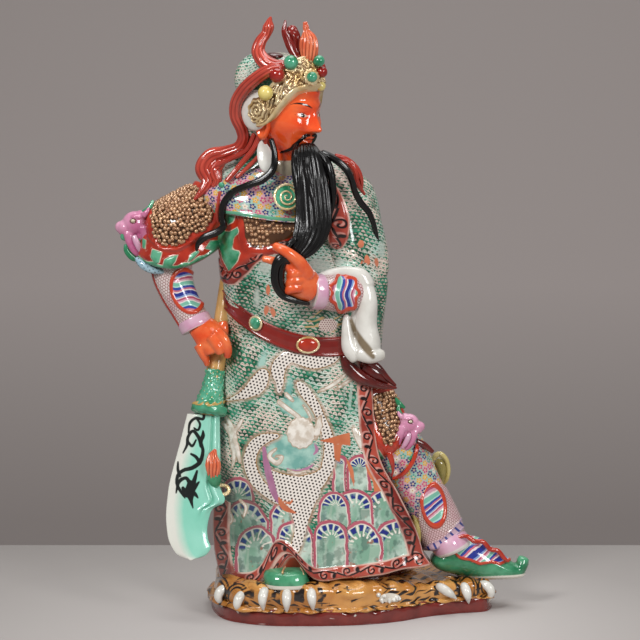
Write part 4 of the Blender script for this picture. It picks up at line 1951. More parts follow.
@dataclass
class LeftArm:
    """The arm before the chest: the undersleeve, the hand that draws the beard and the white lining."""

    forearm: Rows = ((362, 291, -46, 20, 19), (345, 293, -57, 19.5, 18), (330, 292.5, -65, 18, 17),
                     (314, 291.5, -72, 15.5, 15))
    cuff: Rows = (
        (323, 292, -69, 15), (321.5, 292, -69.6, 17.3), (317, 291.6, -71.4, 17.8), (312, 291, -73.2, 17.4),
        (310.6, 291, -73.8, 15.5),
    )
    # the palm, the pointing finger and the thumb, each with its sides, steps and rounded ends
    fingers: tuple[tuple[Rows, int, int, Sequence[float]], ...] = (
        (((313, 289, -74, 14, 12), (305, 285, -79, 17, 12), (296, 279, -83, 17.5, 11), (289, 274, -85, 13, 8)), 44,
         44, (0.05, 0.25)),
        (((308, 277, -84, 8), (301, 265, -91, 7), (292, 256, -96, 5.8), (283, 250, -97, 5), (273, 245, -93, 3.6)),
         26, 44, (0.06, 0.08)),
        (((294, 270, -88, 6), (283, 264, -90, 5), (272, 260.5, -90, 4.2), (262, 258.5, -88, 3)), 24, 36,
         (0.06, 0.08)),
    )
    curl: Rows = ((0, 0, -88, 5.4), (-8, 0.5, -92, 5), (-13, 3, -90, 4.2), (-12, 5, -84, 3.6))
    lining: tuple[Rows, ...] = (
        ((316, 277, -66, 2.4), (330, 273, -64, 4), (346, 272, -60, 6), (360, 277, -57, 9), (367, 290, -57, 10)),
        ((362, 278, -56, 9), (367, 300, -59, 10), (366, 325, -61, 11), (368, 345, -62, 12.5), (365, 357, -62, 11)),
        ((346, 314, -59, 3), (347, 332, -61, 5.5), (350, 348, -62, 8), (359, 359, -62, 8)),
        ((357, 353, -66, 7), (371, 355, -67, 8.5), (385, 355, -64, 4.4)),
        ((357, 296, -58, 3), (356, 316, -57, 5), (356, 340, -55, 6)),
    )
    fold: Rows = ((351, 320, 0.4), (355, 331, 1.2), (361, 341, 2.2), (368, 350, 2.6), (373, 357, 0.8))
    # the flap's two lips and the dark of its opening
    flap: tuple[Rows, ...] = (
        ((344, 354, -54, 5), (349, 367, -56, 7), (361, 378, -57, 6.4), (378, 385, -54, 4), (397, 388, -50, 1.2)),
        ((368, 362, -50, 5, 4), (378, 368, -50, 4, 4), (387, 378, -49, 3, 3), (396, 386, -48, 1.4, 1.4)),
    )

    def build(self) -> None:
        """Makes the sleeve, the hand and the linings."""
        arm = limb(traced(*self.forearm), 88, 66)
        x, y = arm.front()
        near = arm.points[..., 1] < -40
        window = -oval(x, y, (344.5, 293), (12, 16.5)) + 1.3 * np.cos(np.arctan2(y - 293, x - 344) * 7)
        arm.fields["window"] = np.where(near, window, -9)
        arm.raise_by((1.5 * crest(window + 1.6, 2.2) - 0.7 * smooth(window / 3)) * near)
        lay("left_undersleeve", arm, Finish.TURNED_SLEEVE)
        cuff = limb(traced(*self.cuff), 64, 30, ends=(0.1, 0.1))
        cuff.fields["second"] = (cuff.along - 0.72) * 9
        lay("left_cuff", cuff, Finish.CUFF)
        self.make_hand()
        self.make_linings()

    def make_hand(self) -> None:
        """Makes the hand, with its pointing first finger, its thumb and the curled others."""
        forms = [limb(traced(*rows), sides, steps, ends=ends) for rows, sides, steps, ends in self.fingers]
        for i in range(3):
            rows = [(303 - i + dx, 273 + i * 7.4 + dy, depth, half) for dx, dy, depth, half in self.curl]
            forms.append(limb(traced(*rows), 22, 30, facing=(0, 0, 1), ends=(0.1, 0.12)))
        mould("left_hand", forms, Finish.FLESH, grain=0.8, soften=9)

    def make_linings(self) -> None:
        """Makes the hanging white lining of the sleeve and the red flap of the coat under it."""
        forms = [limb(traced(*rows), 40, 48, ends=(0.08, 0.1)) for rows in self.lining]

        def worn(points: Array) -> dict[str, Array]:
            """Darkens the deep fold of the lining."""
            x, y = np.moveaxis(front_view(points), -1, 0)
            fold = stroke(x, y, self.fold, 20).outside
            stain = 0.25 * crest(x - 384, 5) * (y > 345) + 0.3 * smooth((y - 366) / 5)
            return {"pit": np.clip(1 - smooth(fold / 2.6) + stain, 0, 0.9)}

        mould("sleeve_lining", forms, Finish.WHITE, grain=0.9, soften=5, motifs=worn)
        lips = [limb(traced(*rows), 40, 48, ends=(0.06, 0.04)) for rows in self.flap]
        lay_all("coat_flap", lips, Finish.DARK_RED)
        dark = traced((362, 366, -46, 8), (376, 374, -46, 8), (388, 383, -45, 4))
        lay("coat_flap_lining", limb(dark, 40, 40), Finish.DARK_RED)


# ---- Head ------------------------------------------------------------------------------------

HEAD = (-37.0, -28.0, 456.0)
HEAD_TURN = math.radians(50)
HEAD_BOW = math.radians(8)


def head_place(points: Array) -> Array:
    """Takes points by right, behind and up of the head to the figure's axes."""
    right, ahead, up = points[..., 0], -points[..., 1], points[..., 2]
    forward = ahead * math.cos(HEAD_BOW) + up * math.sin(HEAD_BOW)
    rise = up * math.cos(HEAD_BOW) - ahead * math.sin(HEAD_BOW)
    return np.stack([
        HEAD[0] + forward * math.sin(HEAD_TURN) - right * math.cos(HEAD_TURN),
        HEAD[1] - forward * math.cos(HEAD_TURN) - right * math.sin(HEAD_TURN),
        HEAD[2] + rise,
    ], -1)


def head_point(right: float, ahead: float, up: float) -> Place:
    """One point of the head in the figure's axes."""
    return tuple(head_place(np.array([right, -ahead, up])))


def head_egg(middle: Place, half: Sequence[float], sides: int, steps: int,
             shape: Callable[[Array], Array] | None = None) -> Laid:
    """Lays an egg in the head's own axes."""
    right, ahead, up = middle
    return egg((right, -ahead, up), half, sides, steps, place=head_place, shape=shape)


@dataclass
class Head:
    """A calm, full face of even thirds, its moustache, its ears and its neck."""

    half: tuple[float, float, float] = (30, 35.5, 45)
    neck: Rows = ((-38, -19, 400, 20, 20), (-38, -22, 424, 19, 19), (-37, -25, 445, 18, 18))
    neck_collar: Rows = ((-38, -14, 394, 27, 27), (-38, -18, 407, 26, 26), (-38, -19, 414, 22, 22))
    # on the front drawing
    white_collar: Rows = (
        (261, 141, -40, 2, 2), (263, 148, -44, 6, 2), (265, 157, -48, 7.5, 2), (267, 166, -50, 7, 2),
        (270, 173, -50, 3, 2),
    )
    # right and up of the head's middle, distance off the face and radius
    moustache: Rows = (
        (2, -14.8, 0.4, 1.0), (6.5, -15.6, 0.6, 1.8), (10, -19, 0.8, 1.9), (11.5, -25, 1.0, 1.8),
        (12, -31, 1.6, 1.5), (12, -37, 4, 1.2),
    )

    def build(self) -> None:
        """Makes the face, the ears and the collars."""
        self.make_face()
        for side in (-1, 1):
            lay("ear_left" if side > 0 else "ear_right", self.ear(side), Finish.FACE)
        lay("neck", limb(self.neck, 40, 20), Finish.FACE)
        lay("neck_collar", limb(self.neck_collar, 40, 20, ends=(0, 0.1)), Finish.IVORY)
        lay("white_collar", limb(traced(*self.white_collar), 32, 30), Finish.WHITE)
        paths = [[(*self.on_face(side * right, up, lift), wide, wide) for right, up, lift, wide in self.moustache]
                 for side in (-1, 1)]
        Strands("moustache", Finish.HAIR, paths, grooves=4, depth=0.18, sides=28).build()

    def on_face(self, right: float, up: float, lift: float) -> Place:
        """The figure's point that stands off the face by lift, at right and up of the head's middle."""
        spots = egg((0, 0, 0), self.half, 120, 100, shape=self.carve).points.reshape(-1, 3)
        spots = spots[spots[:, 1] < 0]
        x, y, z = spots[np.argmin(np.hypot(spots[:, 0] - right, spots[:, 2] - up))]
        return head_point(x, lift - y, z)

    def carve(self, p: Array) -> Array:
        """Pushes a face out of an egg: brow, sockets, nose, cheeks, lips and chin."""
        x, y, z = p[..., 0], p[..., 1], p[..., 2]
        x = x * (1 - 0.33 * smooth((-z - 2) / 42))
        apart = np.abs(x)
        push = 2.6 * bump(z, 14, 5) * bump(x, 0, 22)
        ridge = smooth((14 - z) / 24)
        push += 9.6 * np.exp(-((x / (3.0 + 3.0 * ridge)) ** 2)) * ridge * smooth((z + 14.5) / 5)
        push += 1.8 * bump(x, 0, 4.4) * bump(z, -8, 4) + 3.6 * bump(apart, 5.8, 2.6) * bump(z, -8.8, 3.2)
        push -= 4.4 * bump(apart, 12.5, 6.5) * bump(z, 5.5, 5.0)
        push += 3.5 * bump(apart, 12.5, 5.2) * bump(z, 4.6, 3.3) + 1.1 * bump(apart, 12.5, 6.0) * bump(z, 8.6, 1.2)
        push += 2.6 * bump(apart, 17, 8) * bump(z, -7, 8)
        push += 2.8 * bump(x, 0, 8.2) * bump(z, -17.6, 1.9) + 3.2 * bump(x, 0, 6.4) * bump(z, -22.2, 2.2)
        push -= 2.2 * bump(x, 0, 9.0) * bump(z, -19.7, 0.8) + 1.2 * bump(x, 0, 7) * bump(z, -26, 2)
        push -= 1.0 * bump(x, 0, 1.5) * bump(z, -14, 2.0)
        push += 4.6 * bump(x, 0, 11) * bump(z, -35, 7) + 5.0 * smooth((z - 18) / 10)
        return np.stack([x, y - push * smooth(-y / 20), z], -1)

    def make_face(self) -> None:
        """Makes the face and lays out its painted lines."""
        face = egg((0, 0, 0), self.half, 176, 146, shape=self.carve)
        x, y, z = np.moveaxis(face.points, -1, 0)
        ahead = y < -8
        apart = np.abs(x)
        brow = stroke(apart, z, ((4.5, 12.0, 0.6), (10, 14.6, 1.2), (17, 15.8, 1.0), (23, 13.6, 0.3)), 20).outside
        lid = stroke(apart, z, ((6.6, 4.0, 0.3), (10, 6.6, 0.55), (14, 6.9, 0.6), (19.4, 4.4, 0.4)), 20).outside
        under = stroke(apart, z, ((7.4, 3.4, 0.12), (12.5, 2.2, 0.22), (18, 3.8, 0.12)), 20).outside
        iris = oval(apart, z, (12.4, 4.5), (2.1, 2.1))
        slit = polygon(apart, z, ((7.0, 4.0), (10, 6.0), (14, 6.2), (18.6, 4.3), (14.5, 2.6), (10.4, 2.6)))
        mouth = stroke(apart, z, ((0, -19.8, 0.3), (4, -19.6, 0.3), (7.6, -20.2, 0.15)), 12).outside
        nostril = oval(apart, z, (4.2, -12.2), (1.3, 0.7))
        lips = np.minimum(oval(x, z, (0, -18.4), (7.4, 2.4)), oval(x, z, (0, -21.6), (6.4, 2.8)))
        line = -np.minimum.reduce([brow, lid, under, iris, mouth, nostril])
        for name, inside in (("line", line), ("white", -slit), ("lips", -lips)):
            face.fields[name] = np.where(ahead, inside, -2)
        face.points = head_place(face.points)
        lay("face", face, Finish.FACE)

    def ear(self, side: int) -> Laid:
        """Lays an ear with its rolled rim and long lobe."""

        def roll(p: Array) -> Array:
            """Hollows the ear inside its rim."""
            out = np.hypot(p[..., 1] / 8, p[..., 2] / 14)
            lift = 1.6 * bump(out, 0.84, 0.16) - 2.2 * bump(out, 0.3, 0.35)
            return np.stack([p[..., 0] + side * lift * (p[..., 0] * side > 0), p[..., 1], p[..., 2]], -1)

        return head_egg((side * 28.5, -3, -10), (4, 8, 15), 48, 32, shape=roll)


@dataclass
class Hat:
    """The brocade crown, the gilt front plate with its ear flaps, and the beads and flame on it."""

    crown: tuple[Place, Place] = ((0, -12, 30), (34, 36, 29))
    bun: tuple[Place, Place] = ((0, -40, 29), (27, 22, 26))
    nape: tuple[Place, Place] = ((0, -18, -2), (31, 24, 38))
    cape: Rows = ((-62, -4, 470, 30, 10), (-66, 8, 440, 28, 9), (-66, 16, 412, 34, 9), (-60, 24, 380, 36, 8))
    plate: Rows = (
        # lower and upper edge of the front plate, in head heights, for each 15 degrees from the brow back
        (34.5, 61), (34.3, 60.5), (32, 57), (26, 49), (11, 34), (-6, 21), (-11, 14),
    )
    beads: tuple[tuple[float, float, float, float, str], ...] = (
        # x and y on the front drawing, distance from the head's middle, radius and finish
        (291, 62.5, 34, 7.2, "GREEN_BEAD"), (319, 61, 26, 5.6, "GREEN_BEAD"), (277, 75, 38, 7.6, "RED_BEAD"),
        (312, 77, 42, 5.2, "GREEN_BEAD"),
        (322, 72, 22, 5.4, "RED_BEAD"), (265.5, 93, 39, 7.4, "YELLOW_BEAD"), (320.5, 86, 22, 5, "YELLOW_BEAD"),
        (221.5, 185, 22, 3, "GREEN_BEAD"),
    )
    far_beads: tuple[tuple[float, float, float, float, str], ...] = (
        # right, ahead, up, radius and finish of the ones that only show from the other side
        (-30, 10, 46, 7.4, "RED_BEAD"), (-36, -8, 26, 7.2, "YELLOW_BEAD"), (-14, 12, 60, 7, "GREEN_BEAD"),
    )

    def build(self) -> None:
        """Makes the hat from the crown forwards."""
        lay("hat_crown", head_egg(*self.crown, 90, 50), Finish.ROBE)
        lay("hat_bun", head_egg(*self.bun, 64, 36), Finish.ROBE)
        lay("hat_nape", head_egg(*self.nape, 64, 36), Finish.ROBE)
        lay("hat_cape", limb(self.cape, 56, 50, facing=(-0.77, 0.64, 0), ends=(0.1, 0.06),
                             swell=lambda a, s: 1 + 0.04 * np.cos(a * 9) * s), Finish.ROBE)
        self.make_plate()
        self.make_flaps()
        beads: dict[str, list[Laid]] = {}
        for x, y, reach, radius, finish in self.beads:
            spot = from_front(x, y, HEAD[1] - reach)
            beads.setdefault(finish, []).append(egg(spot, (radius,) * 3, 32, 20))
        for right, ahead, up, radius, finish in self.far_beads:
            beads.setdefault(finish, []).append(head_egg((right, ahead, up), (radius,) * 3, 32, 20))
        for finish, forms in beads.items():
            lay_all("hat_" + finish.lower(), forms, Finish[finish])
        spot = np.array(from_front(311.5, 77, HEAD[1] - 38.5))
        out = unit(np.array([0.45, -0.85, 0.3]))
        petals = gem(spot, out, 8.4, 8.4, 2.4)
        petals.points += (petals.points - spot) * (0.09 * np.cos(math.tau * petals.across * 12))[..., None]
        lay("brow_bead_petals", petals, Finish.GOLD)
        rim = egg(from_front(273, 57, -34), (11.5, 11, 4.5), 40, 20)
        lay("topknot_opening", rim, Finish.DARK_RED)

    def plate_points(self, across: Array, up: Array, deep: float = 0.0) -> Array:
        """Points of the gilt front plate, in head axes, taken to the figure."""
        turn = (across - 0.5) * math.pi
        low, high = np.moveaxis(course(self.plate, np.abs(turn) / (math.pi / 2)), -1, 0)
        lean = up * smooth(np.cos(turn) * 2)
        reach = 4 - 10 * deep - 3 * lean
        right = -np.sin(turn) * (34 + reach) * (1 - 0.26 * bump(turn, math.radians(38), math.radians(22)))
        ahead = np.cos(turn) * (38 + reach) - 4 - 10 * lean
        return head_place(np.stack([right, -ahead, low + (high - low) * up], -1))

    def make_plate(self) -> None:
        """Makes the front plate with its scrolls in relief and its smooth lower rim."""
        plate = shell(self.plate_points, lambda a, u: self.plate_points(a, u, 1.0), 256, 12, 66)
        tall = np.interp(np.abs(plate.across - 0.5) * 12, range(7), [high - low for low, high in self.plate])
        s, t = (plate.across - 0.5) * 150, plate.along * tall
        relief = scrollwork(s + 2.5 * np.sin(t * 0.35), t + 1.6 * np.sin(s * 0.21), 9.5)
        inner = smooth((t - 2.0) / 0.7) * smooth((tall - 1.6 - t) / 1.2)
        plate.fields["pit"] = np.clip(0.85 - relief * 1.1, 0, 0.85) * inner + 0.6 * bump(t, 2.2, 0.4)
        rims = 1.2 * (1 - smooth((t - 1.2) / 0.9)) + 1.3 * smooth(t - tall + 1.6)
        plate.raise_by(relief * 1.9 * inner + rims)
        lay("gilt_front_plate", plate, Finish.GOLD)

    def make_flaps(self) -> None:
        """Makes the ear flaps with their gilt rosettes and white rims."""
        for side, name in ((1, "flap_near"), (-1, "flap_far")):
            lay(name, head_egg((side * 33, -12, 3), (6, 17, 20), 48, 32), Finish.WHITE)
            spot = np.array(head_point(side * 37, -4, 4))
            out = unit(spot - np.array(head_point(side * 20, -4, 4)))
            lay(name + "_rosette", rosette(spot, out, 13.5), Finish.GOLD)


def scrollwork(s: Array, t: Array, pitch: float) -> Array:
    """Height from 0 to 1 of chased scrolls over a plate, s along it and t across it in millimetres."""
    row = np.floor(t / (pitch * 0.8))
    across = s / pitch + (row % 2) * 0.5
    cell = np.floor(across)
    dx = (across - cell - 0.5) * pitch
    dy = (t / (pitch * 0.8) - row - 0.5) * pitch * 0.8
    flip = 1 - 2 * ((cell + row) % 2)
    far, angle = np.hypot(dx, dy), np.arctan2(dy, dx * flip)
    arm = np.cos(math.tau * (far / 4.2) - angle)
    curl = smooth(0.5 + 0.9 * arm) * smooth((6.2 - far) / 1.2)
    veins = 0.6 * smooth(0.5 + 0.8 * np.cos(dx * 1.3 + dy * 0.9 * flip)) * smooth((far - 5.2) / 1.2)
    return np.maximum(curl, veins)


def rosette(spot: Array, out: Array, reach: float) -> Laid:
    """Lays a domed gilt rosette with a spiral of leaves.

    Args:
        spot: The middle of its back.
        out: The way it faces.
        reach: Its radius.

    Returns:
        The laid rosette.
    """
    across, along = grid(np.linspace(0, 1, 44), 120)
    angle = math.tau * across
    size = np.where(along < 0.2, along / 0.2, (1 - along) / 0.8)
    wave = 1 + 0.06 * np.cos(angle * 9)
    twist = smooth(0.5 + 0.8 * np.cos(math.tau * size * 3.1 - angle)) * smooth((along - 0.22) / 0.1)
    height = np.where(along < 0.2, -1.0, 2.6 * np.sqrt(np.clip(1 - size**2, 0, 1)) + 1.5 * twist)
    far = size * wave * reach
    made = Laid(set_on(spot, out, np.cos(angle) * far, np.sin(angle) * far, height), across, along)
    made.fields["pit"] = np.clip(0.8 - twist, 0, 0.8) * (along > 0.22)
    return made


@dataclass
class Strands:
    """Grooved strands that share one finish: hat ribbons or locks of the beard."""

    name: str
    finish: Finish
    paths: Sequence[Rows]
    grooves: float = 5.0
    depth: float = 0.14
    twist: float = 0.0
    sides: int = 44

    def comb(self, angle: Array, share: Array) -> Array:
        """The grooves that are combed along a strand, from -1 in them to 1 between them."""
        return np.cos(angle * self.grooves + self.twist * share + 1.5 * np.sin(share * 9))

    def build(self) -> None:
        """Makes every strand of the set as one piece."""
        forms = []
        for rows in self.paths:
            length = sum(math.dist(a[:3], b[:3]) for a, b in zip(rows, rows[1:]))
            form = limb(rows, self.sides, max(24, int(length * 0.9)),
                        ends=(min(0.3, rows[0][3] / length), min(0.3, rows[-1][3] / length)),
                        swell=lambda angle, share: 1 + self.depth * (self.comb(angle, share) - 0.3))
            comb = self.comb(math.tau * form.across - math.pi / 2, form.along)
            form.fields["pit"] = np.clip(-comb * 1.4 - 0.5, 0, 0.85)
            forms.append(form)
        lay_all(self.name, forms, self.finish)


RIBBONS = Strands("hat_ribbons", Finish.RIBBON, (
    traced((287, 63, -60, 4), (276, 66, -60, 6.2), (265, 62, -55, 7.2), (258.5, 52, -49, 6.6),
           (260.5, 42, -46, 5.6), (266, 34, -44, 4.8),
           (268.5, 27, -44, 5.4), (269.5, 21, -44, 3), (271, 16.5, -44, 0.8)),
    traced((283, 69, -66, 5), (268, 71, -63, 6), (253, 81, -55, 6.3), (243, 91, -46, 6.3), (236.5, 103, -38, 6.3),
           (236, 116, -33, 6.3), (242, 129, -30, 6.3), (243.5, 139, -28, 6.2), (238, 148, -26, 6.2),
           (225, 153, -24, 7), (211, 157, -22, 8, 6), (203.5, 168, -22, 8, 6),
           (208, 180, -24, 7, 5), (203, 190, -27, 4, 4), (194, 200, -30, 1.2)),
    traced((224, 158, -22, 5), (215, 169, -24, 7, 6), (217, 181, -27, 5, 5), (212, 187, -28, 2)),
    traced((262, 130, -42, 2.6), (254, 148, -40, 2.8), (241, 164, -38, 2.6), (226, 182, -40, 2.2)),
    traced((255, 133, -36, 2.6), (247, 150, -34, 2.8), (232, 158, -30, 2.6), (216, 166, -27, 2.4)),
    traced((266, 137, -42, 2), (262, 152, -42, 2.2), (247, 168, -40, 2), (236, 178, -40, 1.6)),
    traced((220, 191, -40, 1.6), (219, 200, -41, 1.8), (217, 212, -41, 1.8), (218, 223, -40, 1)),
    traced((340, 161, -52, 2.6), (349, 163, -50, 3), (355, 172, -49, 2.8), (357, 183, -48, 2.6),
           (365, 195, -43, 1.2)),
    traced((334, 156, -50, 3), (346, 160, -49, 3.2), (356, 168, -47, 2.8), (361, 179, -45, 2.4),
           (362, 189, -44, 1.0)),
), grooves=9, depth=0.08, twist=2.0, sides=36)
DARK_RIBBON = Strands("curled_ribbon", Finish.MAROON, (
    traced((300, 62, -46, 4), (294, 51, -46, 5), (289, 42, -46, 4.2), (285.5, 34, -46, 3.4), (284.5, 28, -46, 2.4),
           (285.5, 20, -46, 0.7)),
    traced((300, 58, -44, 3), (298, 48, -44, 4.6), (294.5, 38, -44, 5.8), (292, 31, -44, 5.8), (290, 25.5, -44, 3)),
), grooves=5, depth=0.14)
FLAME = Strands("hat_flame", Finish.FLAME, (
    traced((308, 64, -50, 4), (309, 56, -50, 7.6), (309, 46, -50, 8.8), (308, 37.5, -50, 7.4),
           (306.5, 31, -50, 3.4), (305.8, 26.5, -50, 2.8),
           (305, 21.5, -50, 1.8)),
), grooves=13, depth=0.09, twist=1.2, sides=110)
BEARD = Strands("beard", Finish.HAIR, (
    traced((306, 145, -52, 8, 6), (307, 156, -60, 13, 8), (310, 176, -67, 15.5, 10), (313, 200, -72, 16.5, 10),
           (313, 224, -76, 17, 10),
           (306, 242, -80, 14, 9), (296, 256, -83, 7, 6)),
), grooves=21, depth=0.07, twist=3.0, sides=144)
LOCKS = Strands("beard_locks", Finish.HAIR, (
    traced((271, 138, -54, 2.4), (274.5, 154, -56, 3), (273, 169, -57, 3.4), (262, 180, -58, 3.6),
           (246, 186, -55, 3.4), (233, 192, -50, 3.4), (224, 203, -46, 3.4), (222, 217, -45, 3.4),
           (223.5, 226, -45, 3.4), (217, 232, -44, 3.6), (205, 237, -43, 3.4), (198, 244, -42, 2.6),
           (196.5, 251, -40, 1.2)),
    traced((321, 152, -58, 3), (334, 159, -62, 3.4), (345, 168, -62, 3.4), (351.5, 180, -60, 3), (355, 192, -58, 3),
           (361, 203, -55, 3.2),
           (369, 213, -51, 3), (374, 226, -46, 2.6), (377, 239, -38, 2), (380, 248, -32, 0.8)),
    traced((318, 152, -60, 3), (327, 163, -66, 4), (332, 180, -68, 3.6), (333, 200, -68, 3), (331, 216, -68, 1)),
    traced((303, 258, -87, 4), (291, 258, -92, 5), (281, 259, -95, 5.4, 5), (276, 268, -95, 4.6),
           (276, 283, -94, 4.4), (283, 295, -90, 4),
           (296, 301, -87, 2.8), (310, 304, -82, 1.6)),
    traced((293, 262, -90, 2.6), (284, 262, -94, 3.4), (281, 272, -94, 3.6), (281.5, 286, -92, 3.4),
           (288, 295, -88, 2)),
    traced((297, 238, -84, 3), (290, 244, -86, 3), (287, 252, -88, 2.4), (291, 257, -88, 1)),
    traced((299, 138, -46, 1.2), (296, 148, -54, 2.8), (295, 160, -63, 3.8), (296, 178, -70, 3.6),
           (298, 200, -74, 2)),
    traced((313, 144, -50, 1.2), (317, 152, -58, 2.8), (321, 166, -66, 3.6), (325, 186, -72, 3.2),
           (326, 206, -75, 1.6)),
    traced((307, 146, -55, 1.6), (306, 156, -64, 3.4), (308, 172, -74, 4.2), (312, 196, -79, 3.6),
           (313, 214, -80, 1.6)),
), grooves=7, depth=0.1, sides=26)


# ---- Leg and glaive --------------------------------------------------------------------------


@dataclass
class SteppingLeg:
    """The left leg in knee armour and flowered trousers, both shoes and the yellow lining."""

    thigh: Rows = (
        (14, -2, 236, 26, 28), (27, -6, 200, 27, 28), (46, -18, 168, 27, 28), (55, -25, 140, 28, 28),
        (62, -26, 116, 24, 25),
    )
    shin: Rows = (
        (66, -20, 136, 26, 26), (79, -18, 110, 28, 27), (97, -16, 74, 26, 25), (113, -14, 44, 24, 24),
        (120, -14, 26, 22, 22),
    )
    foot_x: float = -36.0
    # the rest is laid out on the front drawing
    shield: Rows = ((373, 393), (392, 390), (398, 400), (400, 415), (398, 431), (391, 447), (385, 444), (377, 429),
                    (372, 410))
    leaves: tuple[Rows, ...] = (
        ((378, 447), (387, 461), (393, 473), (386, 466), (377, 456)),
        ((396, 450), (404, 444), (412, 455), (403, 467), (394, 473), (390, 468)),
    )
    guard: Rows = (
        (437, 480), (428, 486), (421, 498), (418, 512), (420, 530), (424, 556), (480, 550), (478, 520), (452, 494),
    )
    vamp: Rows = (
        (448, 545), (451, 552), (460, 559), (470, 561), (480, 565), (492, 563), (500, 565), (510, 561), (514, 552),
        (480, 520), (450, 525),
    )
    knee_piping: tuple[Rows, ...] = (
        ((389, 452, -58, 3), (392, 462, -58, 2.6), (393, 470, -56, 1.4), (392, 477, -54, 0.6)),
        ((392, 479, -44, 1.6), (403, 474, -46, 2.2), (412, 463, -46, 2.2), (416.5, 451, -44, 2),
         (417, 444, -40, 1.6)),
    )
    knee_strap: Rows = ((416, 441, -34, 3), (424, 445, -32, 3.4), (433, 452, -28, 2))
    band: Rows = ((422, 553, 3.4), (432, 547, 3.4), (446, 540, 3.4), (460, 526, 3.4), (468, 515, 3.4))
    cuff: Rows = (
        (429, 545, 458, 524, -14, 24), (431, 549, 464, 530, -14, 27), (434, 554, 470, 537, -14, 27),
        (436, 557, 473, 541, -14, 24),
    )
    loop: Rows = (
        (433, 460, -6, 2.4), (436, 455, -8, 2.6), (441, 454, -8, 2.4), (446.5, 460, -7, 2.2), (448.5, 470, -5, 2.2),
        (446, 480, -2, 2.4), (440, 485, 2, 2.4),
    )
    hollow: Rows = ((435, 460, 0, 5, 8), (440, 464, 0, 7, 9), (441, 473, 0, 6.4, 9), (439, 483, 2, 4, 8))
    edge: Rows = ((412, 500, -32, 2), (415, 516, -33, 3.2), (417.5, 532, -34, 3.4), (418, 551, -34, 2.4))
    vamp_piping: Rows = (
        (456, 538, -33, 1.4), (466, 536, -34, 2.2), (474, 541, -34, 2.4), (483, 542, -33, 2.4),
        (490, 549, -32, 2.4), (498, 551, -31, 2.4), (504, 558, -30, 2.2), (509, 562, -29, 1.2),
    )
    gilt_line: Rows = ((285, 580), (282.5, 574), (284, 568), (290, 564.5), (297, 565), (302, 569), (303.5, 575))
    shoe: Rows = (
        (431, 564, 429, 556, -13, 12), (441, 570, 441, 547, -13, 19), (456, 574, 458, 538, -13, 21),
        (473, 576.5, 476, 538, -13, 21), (489, 578, 490, 547, -14, 19), (503, 578.5, 503, 556, -14, 17),
        (514, 577, 513, 562, -14, 14), (522.5, 575, 516, 562, -14, 11), (528, 566, 517, 559, -14, 9),
        (529, 558, 519.5, 555, -14, 6),
    )

    def build(self) -> None:
        """Makes the leg from the knee armour down."""
        self.make_knee()
        self.make_trousers()
        self.make_shoes()
        LionMask("knee", (409, 424), -38, 0.8, 1, (
            ((-5, -20, 4, 1.6), (-12, -25, 5, 3.4), (-17, -33, 4, 1.2)),
            ((4, 38, 5, 2), (0, 43, 5, 4), (-6, 45, 4, 1.6)),
            ((-9, -12, 8, 1.4), (-13, -18, 7, 2.6), (-12, -25, 6, 1)),
        )).build()

    def make_knee(self) -> None:
        """Makes the studded knee armour."""
        thigh = limb(self.thigh, 100, 72, ends=(0.05, 0.15))
        x, y = thigh.front()
        near = np.abs(thigh.across - 0.5) < 0.25
        out = np.where(near, polygon(x, y, self.shield), 20)
        spots, facing = scatter(thigh, 4.0, out < -0.8)
        studs("knee_studs", spots + facing * 0.8, facing, 2.25, Finish.BEADS)
        thigh.fields.update(bed=-out - 0.6, leaf=np.where(near & (out > 1), patched(x, y, self.leaves), -9))
        thigh.raise_by(2.2 * crest(out - 2.8, 2.8) + 1.4 * smooth(thigh.fields["leaf"] / 2))
        lay("knee_armour", thigh, Finish.ARMOUR)
        wedge, piping = self.knee_piping
        lay_all("knee_piping", [limb(traced(*wedge), 24, 24), limb(traced(*piping), 24, 50)], Finish.RED)
        lay("knee_strap", limb(traced(*self.knee_strap), 24, 24), Finish.DARK_RED)

    def make_trousers(self) -> None:
        """Makes the flowered trousers, the shin guard with its window, the cuff and the linings."""
        leg = limb(self.shin, 108, 96, ends=(0.1, 0.05), swell=lambda a, s: 1 + 0.02 * np.cos(a * 5 + 8 * s))
        x, y = leg.front()
        guard = overlay(leg, -polygon(x, y, self.guard), 1.6, 3.0)
        x, y = guard.front()
        near = guard.points[..., 1] < -12
        window = -oval(x, y, (433.5, 505), (10, 18.5), -8)
        guard.fields["window"] = np.where(near, window, -9)
        lift = (1.6 * crest(window + 1.6, 2.2) - 0.6 * smooth(window / 3)) * near
        band = stroke(x, y, self.band).outside
        guard.fields["band"] = np.where(band < 0, stroke(x, y, self.band[::2]).along + 1, 0)
        guard.raise_by(lift + 0.8 * crest(band, 1.2))
        lay("trousers", leg, Finish.TROUSERS)
        lay("shin_guard", guard, Finish.SLANTED_SLEEVE)
        cuff = strap(self.cuff, 120, 50, ends=(0.1, 0.1))
        cuff.fields["second"] = (cuff.along - 0.62) * 9
        lay("trouser_cuff", cuff, Finish.CUFF)
        loop = limb(traced(*self.loop), 30, 80, facing=(1, 0, 0))
        hollow = limb(traced(*self.hollow), 48, 50)
        hollow.fields["pit"] = np.full(hollow.across.shape, 0.55)
        edge = limb(traced(*self.edge), 24, 50)
        lay_all("yellow_linings", [loop, hollow, edge], Finish.YELLOW)

